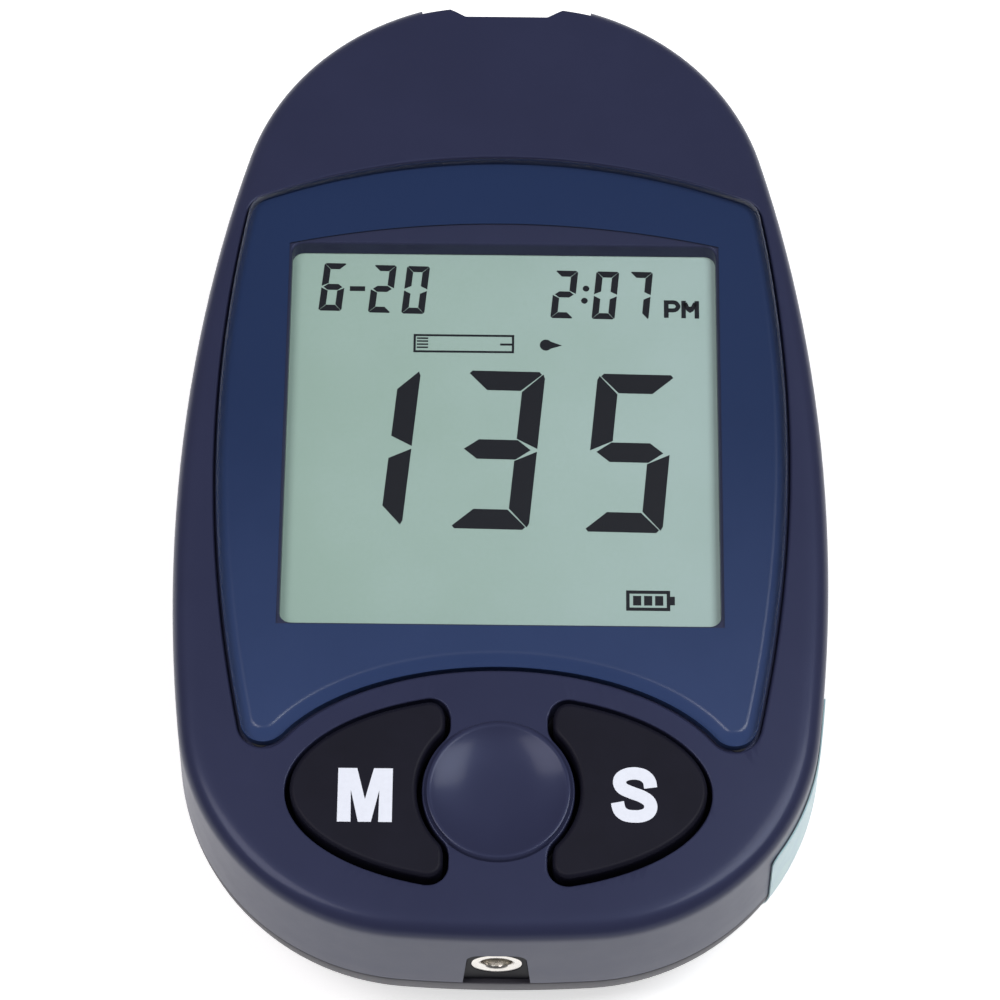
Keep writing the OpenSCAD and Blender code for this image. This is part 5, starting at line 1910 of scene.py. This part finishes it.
@dataclass
class Display:
    """What the liquid crystal display shows: a reading, the date, the time and two signs.

    A digit's size is its width, its height and the width of its segments.
    """

    low: float = 18.605
    high: float = 18.62
    turn: float = -0.85
    slant: float = 0.078
    raised: float = 0.3
    aside: float = -0.17
    large: Place = (7.0, 15.4, 1.9)
    small: Place = (2.05, 4.82, 0.6)
    colon_r: float = 0.3

    def seven(self, digit: str, centre: Point, size: Place) -> list[list[Point]]:
        """The segments of a seven-segment digit.

        Args:
            digit: The digit.
            centre: Its middle.
            size: Its size.

        Returns:
            An outline for each segment that shows.
        """
        w, h, s = size[0] / 2, size[1] / 2, size[2]
        e = 0.06 + 0.04 * s
        across = [(w - 0.28 * s, h), (-w + 0.28 * s, h), (-w + 0.16 * s, h - 0.14 * s),
                  (-w + 1.06 * s, h - s), (w - 1.06 * s, h - s), (w - 0.16 * s, h - 0.14 * s)]
        upper = [(w, e), (w, h - 0.33 * s), (w - 0.09 * s, h - 0.12 * s), (w - s, h - s - 0.06 * s),
                 (w - s, 0.5 * s + e)]
        middle = [(w - 0.3 * s, 0), (w - 0.95 * s, s / 2), (-w + 0.95 * s, s / 2), (-w + 0.3 * s, 0),
                  (-w + 0.95 * s, -s / 2), (w - 0.95 * s, -s / 2)]

        def flipped(outline: list[Point], x: int, y: int) -> list[Point]:
            """An outline turned over by the signs of X and Y, still anticlockwise."""
            turned = [(at_x * x, at_y * y) for at_x, at_y in outline]
            return turned if x * y > 0 else turned[::-1]

        segments = {"a": across, "d": flipped(across, 1, -1), "g": middle, "b": upper,
                    "c": flipped(upper, 1, -1), "f": flipped(upper, -1, 1), "e": flipped(upper, -1, -1)}
        shown = {"0": "abcdef", "1": "bc", "2": "abged", "3": "abgcd", "5": "afgcd", "6": "afgcde",
                 "7": "abc"}
        return [self.lean(segments[name], centre) for name in shown[digit]]

    def digits(self, size: Place, *placed: tuple[str, Point]) -> list[list[Point]]:
        """The segments of several digits of one size."""
        return [segment for digit, centre in placed for segment in self.seven(digit, centre, size)]

    def lean(self, outline: Sequence[Point], centre: Point) -> list[Point]:
        """Slants an outline round a middle and turns it with the display's content.

        Args:
            outline: The outline, round the origin.
            centre: The place that its origin goes to.

        Returns:
            The slanted outline.
        """
        c, s = cosine(self.turn), sine(self.turn)
        leant = [(x + self.slant * y, y) for x, y in outline]
        return [(centre[0] + x * c - y * s, centre[1] + x * s + y * c) for x, y in leant]

    def bars(self, *corners: tuple[float, float, float, float]) -> list[list[Point]]:
        """Bars, each from its lower left to its upper right corner."""
        return [[(x0, y0), (x1, y0), (x1, y1), (x0, y1)] for x0, y0, x1, y1 in corners]

    def marks(self, name: str, outlines: Sequence[list[Point]]) -> None:
        """Makes one piece of several flat marks.

        Args:
            name: The piece's name.
            outlines: The marks' outlines.
        """
        parts = [Bench.prism(name, moved(outline, self.aside, self.raised), self.low, self.high)
                 for outline in outlines]
        dress(Bench.merge(name, parts), Finish.SEGMENT, Body.METER, even=False)

    def build(self) -> None:
        """Builds the digits and the small signs."""
        self.marks("display_reading", self.digits(
            self.large, ("1", (-11.28, -0.45)), ("3", (-0.25, -0.62)), ("5", (11.39, -0.8))))
        date = self.digits(self.small, ("6", (-15.12, 15.37)), ("2", (-10.69, 15.22)), ("0", (-7.71, 15.15)))
        self.marks("display_date", date + self.bars((-13.6, 14.98, -12.24, 15.46)))
        time = self.digits(self.small, ("2", (5.6, 14.85)), ("0", (9.28, 14.8)), ("7", (12.3, 14.8)))
        time += [circle(dot, self.colon_r, 12) for dot in ((7.54, 15.46), (7.4, 14.23))]
        self.marks("display_time", time + self.letters_pm())
        self.marks("display_signs", self.strip_sign() + self.battery_sign())

    def letters_pm(self) -> list[list[Point]]:
        """The letters after the time.

        Returns:
            The outlines of their strokes.
        """
        bowl = [(14.9, 14.16), (15.5, 14.14), (15.75, 13.85), (15.75, 13.65), (15.5, 13.38), (14.9, 13.35)]
        valley = [(16.38, 14.1), (16.84, 13.3), (17.3, 14.08)]
        stem, left, right = self.bars((14.5, 12.6, 14.92, 14.36), (16.06, 12.57, 16.46, 14.33),
                                      (17.24, 12.55, 17.64, 14.31))
        return [stem, ribbon(bowl, 0.4), left, right, ribbon(valley, 0.38)]

    def strip_sign(self) -> list[list[Point]]:
        """The sign of a test strip and a drop.

        Returns:
            The outlines of its marks.
        """
        strip = self.bars((-7.8, 8.88, 1.15, 9.08), (-7.8, 10.5, 1.15, 10.7), (-7.8, 9.08, -7.6, 10.5),
                          (0.95, 9.08, 1.15, 10.5), (-0.09, 9.64, 0.95, 9.84))
        stripes = self.bars(*((-7.5, y, -6.5, y + 0.15) for y in (10.22, 9.93, 9.62, 9.31)))
        drop = arc((3.98, 9.73), 0.55, 40, 320, 14) + [(4.4, 9.37), (5.39, 9.7)]
        return strip + stripes + [drop]

    def battery_sign(self) -> list[list[Point]]:
        """The sign of a full battery.

        Returns:
            The outlines of its marks.
        """
        case = self.bars((11.0, -15.9, 14.8, -15.6), (11.0, -14.3, 14.8, -14.0), (11.0, -15.6, 11.3, -14.3),
                         (14.5, -15.6, 14.8, -14.3), (14.8, -15.35, 15.2, -14.55))
        return case + self.bars(*((x, -15.4, x + 0.7, -14.5) for x in (11.6, 12.55, 13.5)))


@dataclass
class Interior:
    """The pieces inside the case, which keep their solids."""

    finishes: dict[str, Finish] = field(default_factory=lambda: {
        "lens_adhesive": Finish.ADHESIVE, "lcd_front_glass": Finish.DISPLAY,
        "lcd_rear_glass": Finish.GLASS_BACK, "lcd_reflector": Finish.REFLECTOR,
        "lcd_frame": Finish.FRAME, "zebra_strips": Finish.ZEBRA,
        "main_board": Finish.BOARD, "microcontroller": Finish.RESIN, "memory_chip": Finish.RESIN,
        "clock_crystal": Finish.STEEL, "chip_capacitors": Finish.CERAMIC, "buzzer": Finish.BLACK,
        "strip_connector": Finish.CONNECTOR, "strip_contacts": Finish.GOLD,
        "battery_positive_clip": Finish.NICKEL, "battery_negative_spring": Finish.NICKEL,
        "data_jack_contacts": Finish.NICKEL, "keypad_mat": Finish.MAT, "memory_dome": Finish.MAT,
        "set_dome": Finish.MAT, "key_contact_pads": Finish.GOLD, "board_screws": Finish.STEEL,
        "code_chip_socket": Finish.BLACK, "code_chip_contacts": Finish.GOLD})

    def build(self) -> None:
        """Gives each carried-over solid its finish."""
        for node, finish in self.finishes.items():
            dress_node(node, finish)


@dataclass
class Studio:
    """Camera, floor and soft lights."""

    target: Place = (0.0, -0.0012, 0.010)
    distance: float = 0.34
    elevation: float = 65.0
    focal: float = 136.4
    roll: float = 0.6
    shift: float = -0.0015
    floor_r: float = 0.9
    floor_z: float = -0.0002
    floor_glow: float = 0.62
    sky: float = 0.3
    lamp_distance: float = 0.8
    lamp_size: float = 0.36
    left_power: float = 2.8
    right_power: float = 3.8

    @staticmethod
    def facing_back(way: Vector) -> Matrix:
        """The turn of a camera or lamp that looks back along a way from the object."""
        return (-way).to_track_quat("-Z", "Y").to_matrix().to_4x4()

    def camera(self) -> None:
        """Sets up the camera."""
        data = bpy.data.cameras.new("camera")
        data.lens = self.focal
        data.sensor_width = 36
        data.shift_x = self.shift
        data.clip_start = 0.01
        camera = bpy.data.objects.new("camera", data)
        bpy.context.scene.collection.objects.link(camera)
        target = Vector(self.target)
        away = Vector((0, -cosine(self.elevation), sine(self.elevation)))
        place = Matrix.Translation(target + away * self.distance)
        turn = Matrix.Rotation(math.radians(self.roll), 4, "Z")
        camera.matrix_world = place @ self.facing_back(away) @ turn
        bpy.context.scene.camera = camera

    def floor(self) -> None:
        """Lays the pale floor, which looks white and keeps a faint shadow."""
        Bench.clear()
        bpy.ops.mesh.primitive_circle_add(vertices=96, radius=self.floor_r, fill_type="NGON",
                                          location=(0, 0, self.floor_z))
        floor = bpy.context.object
        floor.name = "studio_floor"
        bpy.ops.object.transform_apply(location=True)
        s = Surface("studio_paper")
        rays = s.add("ShaderNodeLightPath").outputs
        seen = s.math("MINIMUM", s.math("ADD", s.math("ADD", rays["Is Camera Ray"], rays["Is Glossy Ray"]),
                                        rays["Is Transmission Ray"]), 1.0)
        tone = s.ramp(s.noise(60.0, 2.0), (0.3, (0.79, 0.79, 0.79)), (0.7, (0.81, 0.81, 0.81)))
        paper = s.add("ShaderNodeBsdfDiffuse", {"Color": tone}).outputs[0]
        glow = s.add("ShaderNodeEmission", {"Strength": s.math("MULTIPLY", seen, self.floor_glow)}).outputs[0]
        floor.data.materials.append(s.close(s.add("ShaderNodeAddShader", {0: paper, 1: glow}).outputs[0]))

    def world(self) -> None:
        """Surrounds the object with soft light: white near the floor, dimmer above."""
        world = bpy.data.worlds.new("studio_air")
        bpy.context.scene.world = world
        air = Shading(world)
        height = air.add("ShaderNodeSeparateXYZ", {0: air.add("ShaderNodeTexCoord").outputs["Generated"]})
        light = air.ramp(height.outputs[2], (0.1, (1.0, 1.0, 1.0)), (0.55, (0.42, 0.42, 0.44)))
        soft = air.add("ShaderNodeBackground", {0: light, 1: self.sky}).outputs[0]
        white = air.add("ShaderNodeBackground", {0: (1, 1, 1, 1)}).outputs[0]
        seen = air.add("ShaderNodeLightPath").outputs["Is Camera Ray"]
        mix = air.add("ShaderNodeMixShader", {0: seen, 1: soft, 2: white}).outputs[0]
        air.add("ShaderNodeOutputWorld", {0: mix})

    def lamp(self, name: str, direction: Place, power: float, colour: Colour) -> None:
        """Hangs a softbox that points at the object.

        Args:
            name: Its name.
            direction: The way to it from the object.
            power: Its power, in watts.
            colour: Its colour.
        """
        data = bpy.data.lights.new(name, "AREA")
        data.shape = "SQUARE"
        data.size = self.lamp_size
        data.energy = power
        data.color = colour
        lamp = bpy.data.objects.new(name, data)
        bpy.context.scene.collection.objects.link(lamp)
        way = Vector(direction).normalized()
        lamp.matrix_world = Matrix.Translation(way * self.lamp_distance) @ self.facing_back(way)

    def build(self) -> None:
        """Sets up the view, the floor and the light."""
        bpy.context.scene.view_settings.view_transform = "Standard"
        self.camera()
        self.floor()
        self.world()
        self.lamp("left_box", (-0.45, -0.08, 0.89), self.left_power, (1.0, 0.96, 0.98))
        self.lamp("right_box", (0.44, 0.04, 0.9), self.right_power, (0.95, 0.97, 1.0))


def main() -> None:
    """Builds the meter piece by piece."""
    logging.basicConfig(level=logging.INFO, format="%(message)s", stream=sys.stdout)
    Studio().build()
    keys, fixings, plate = KeyPad(), Fixings(), BackPlate()
    lens = Lens(keys)
    front = CaseFront(lens, keys, fixings)
    back = CaseBack(fixings, plate)
    for assembly in (Interior(), front, back, lens, keys, Display(), StripPort(), DataJack(front),
                     Battery(back), CodeChip(), Labels(plate)):
        assembly.build()
        log.info("%s is built", type(assembly).__name__)


if __name__ == "__main__":
    main()
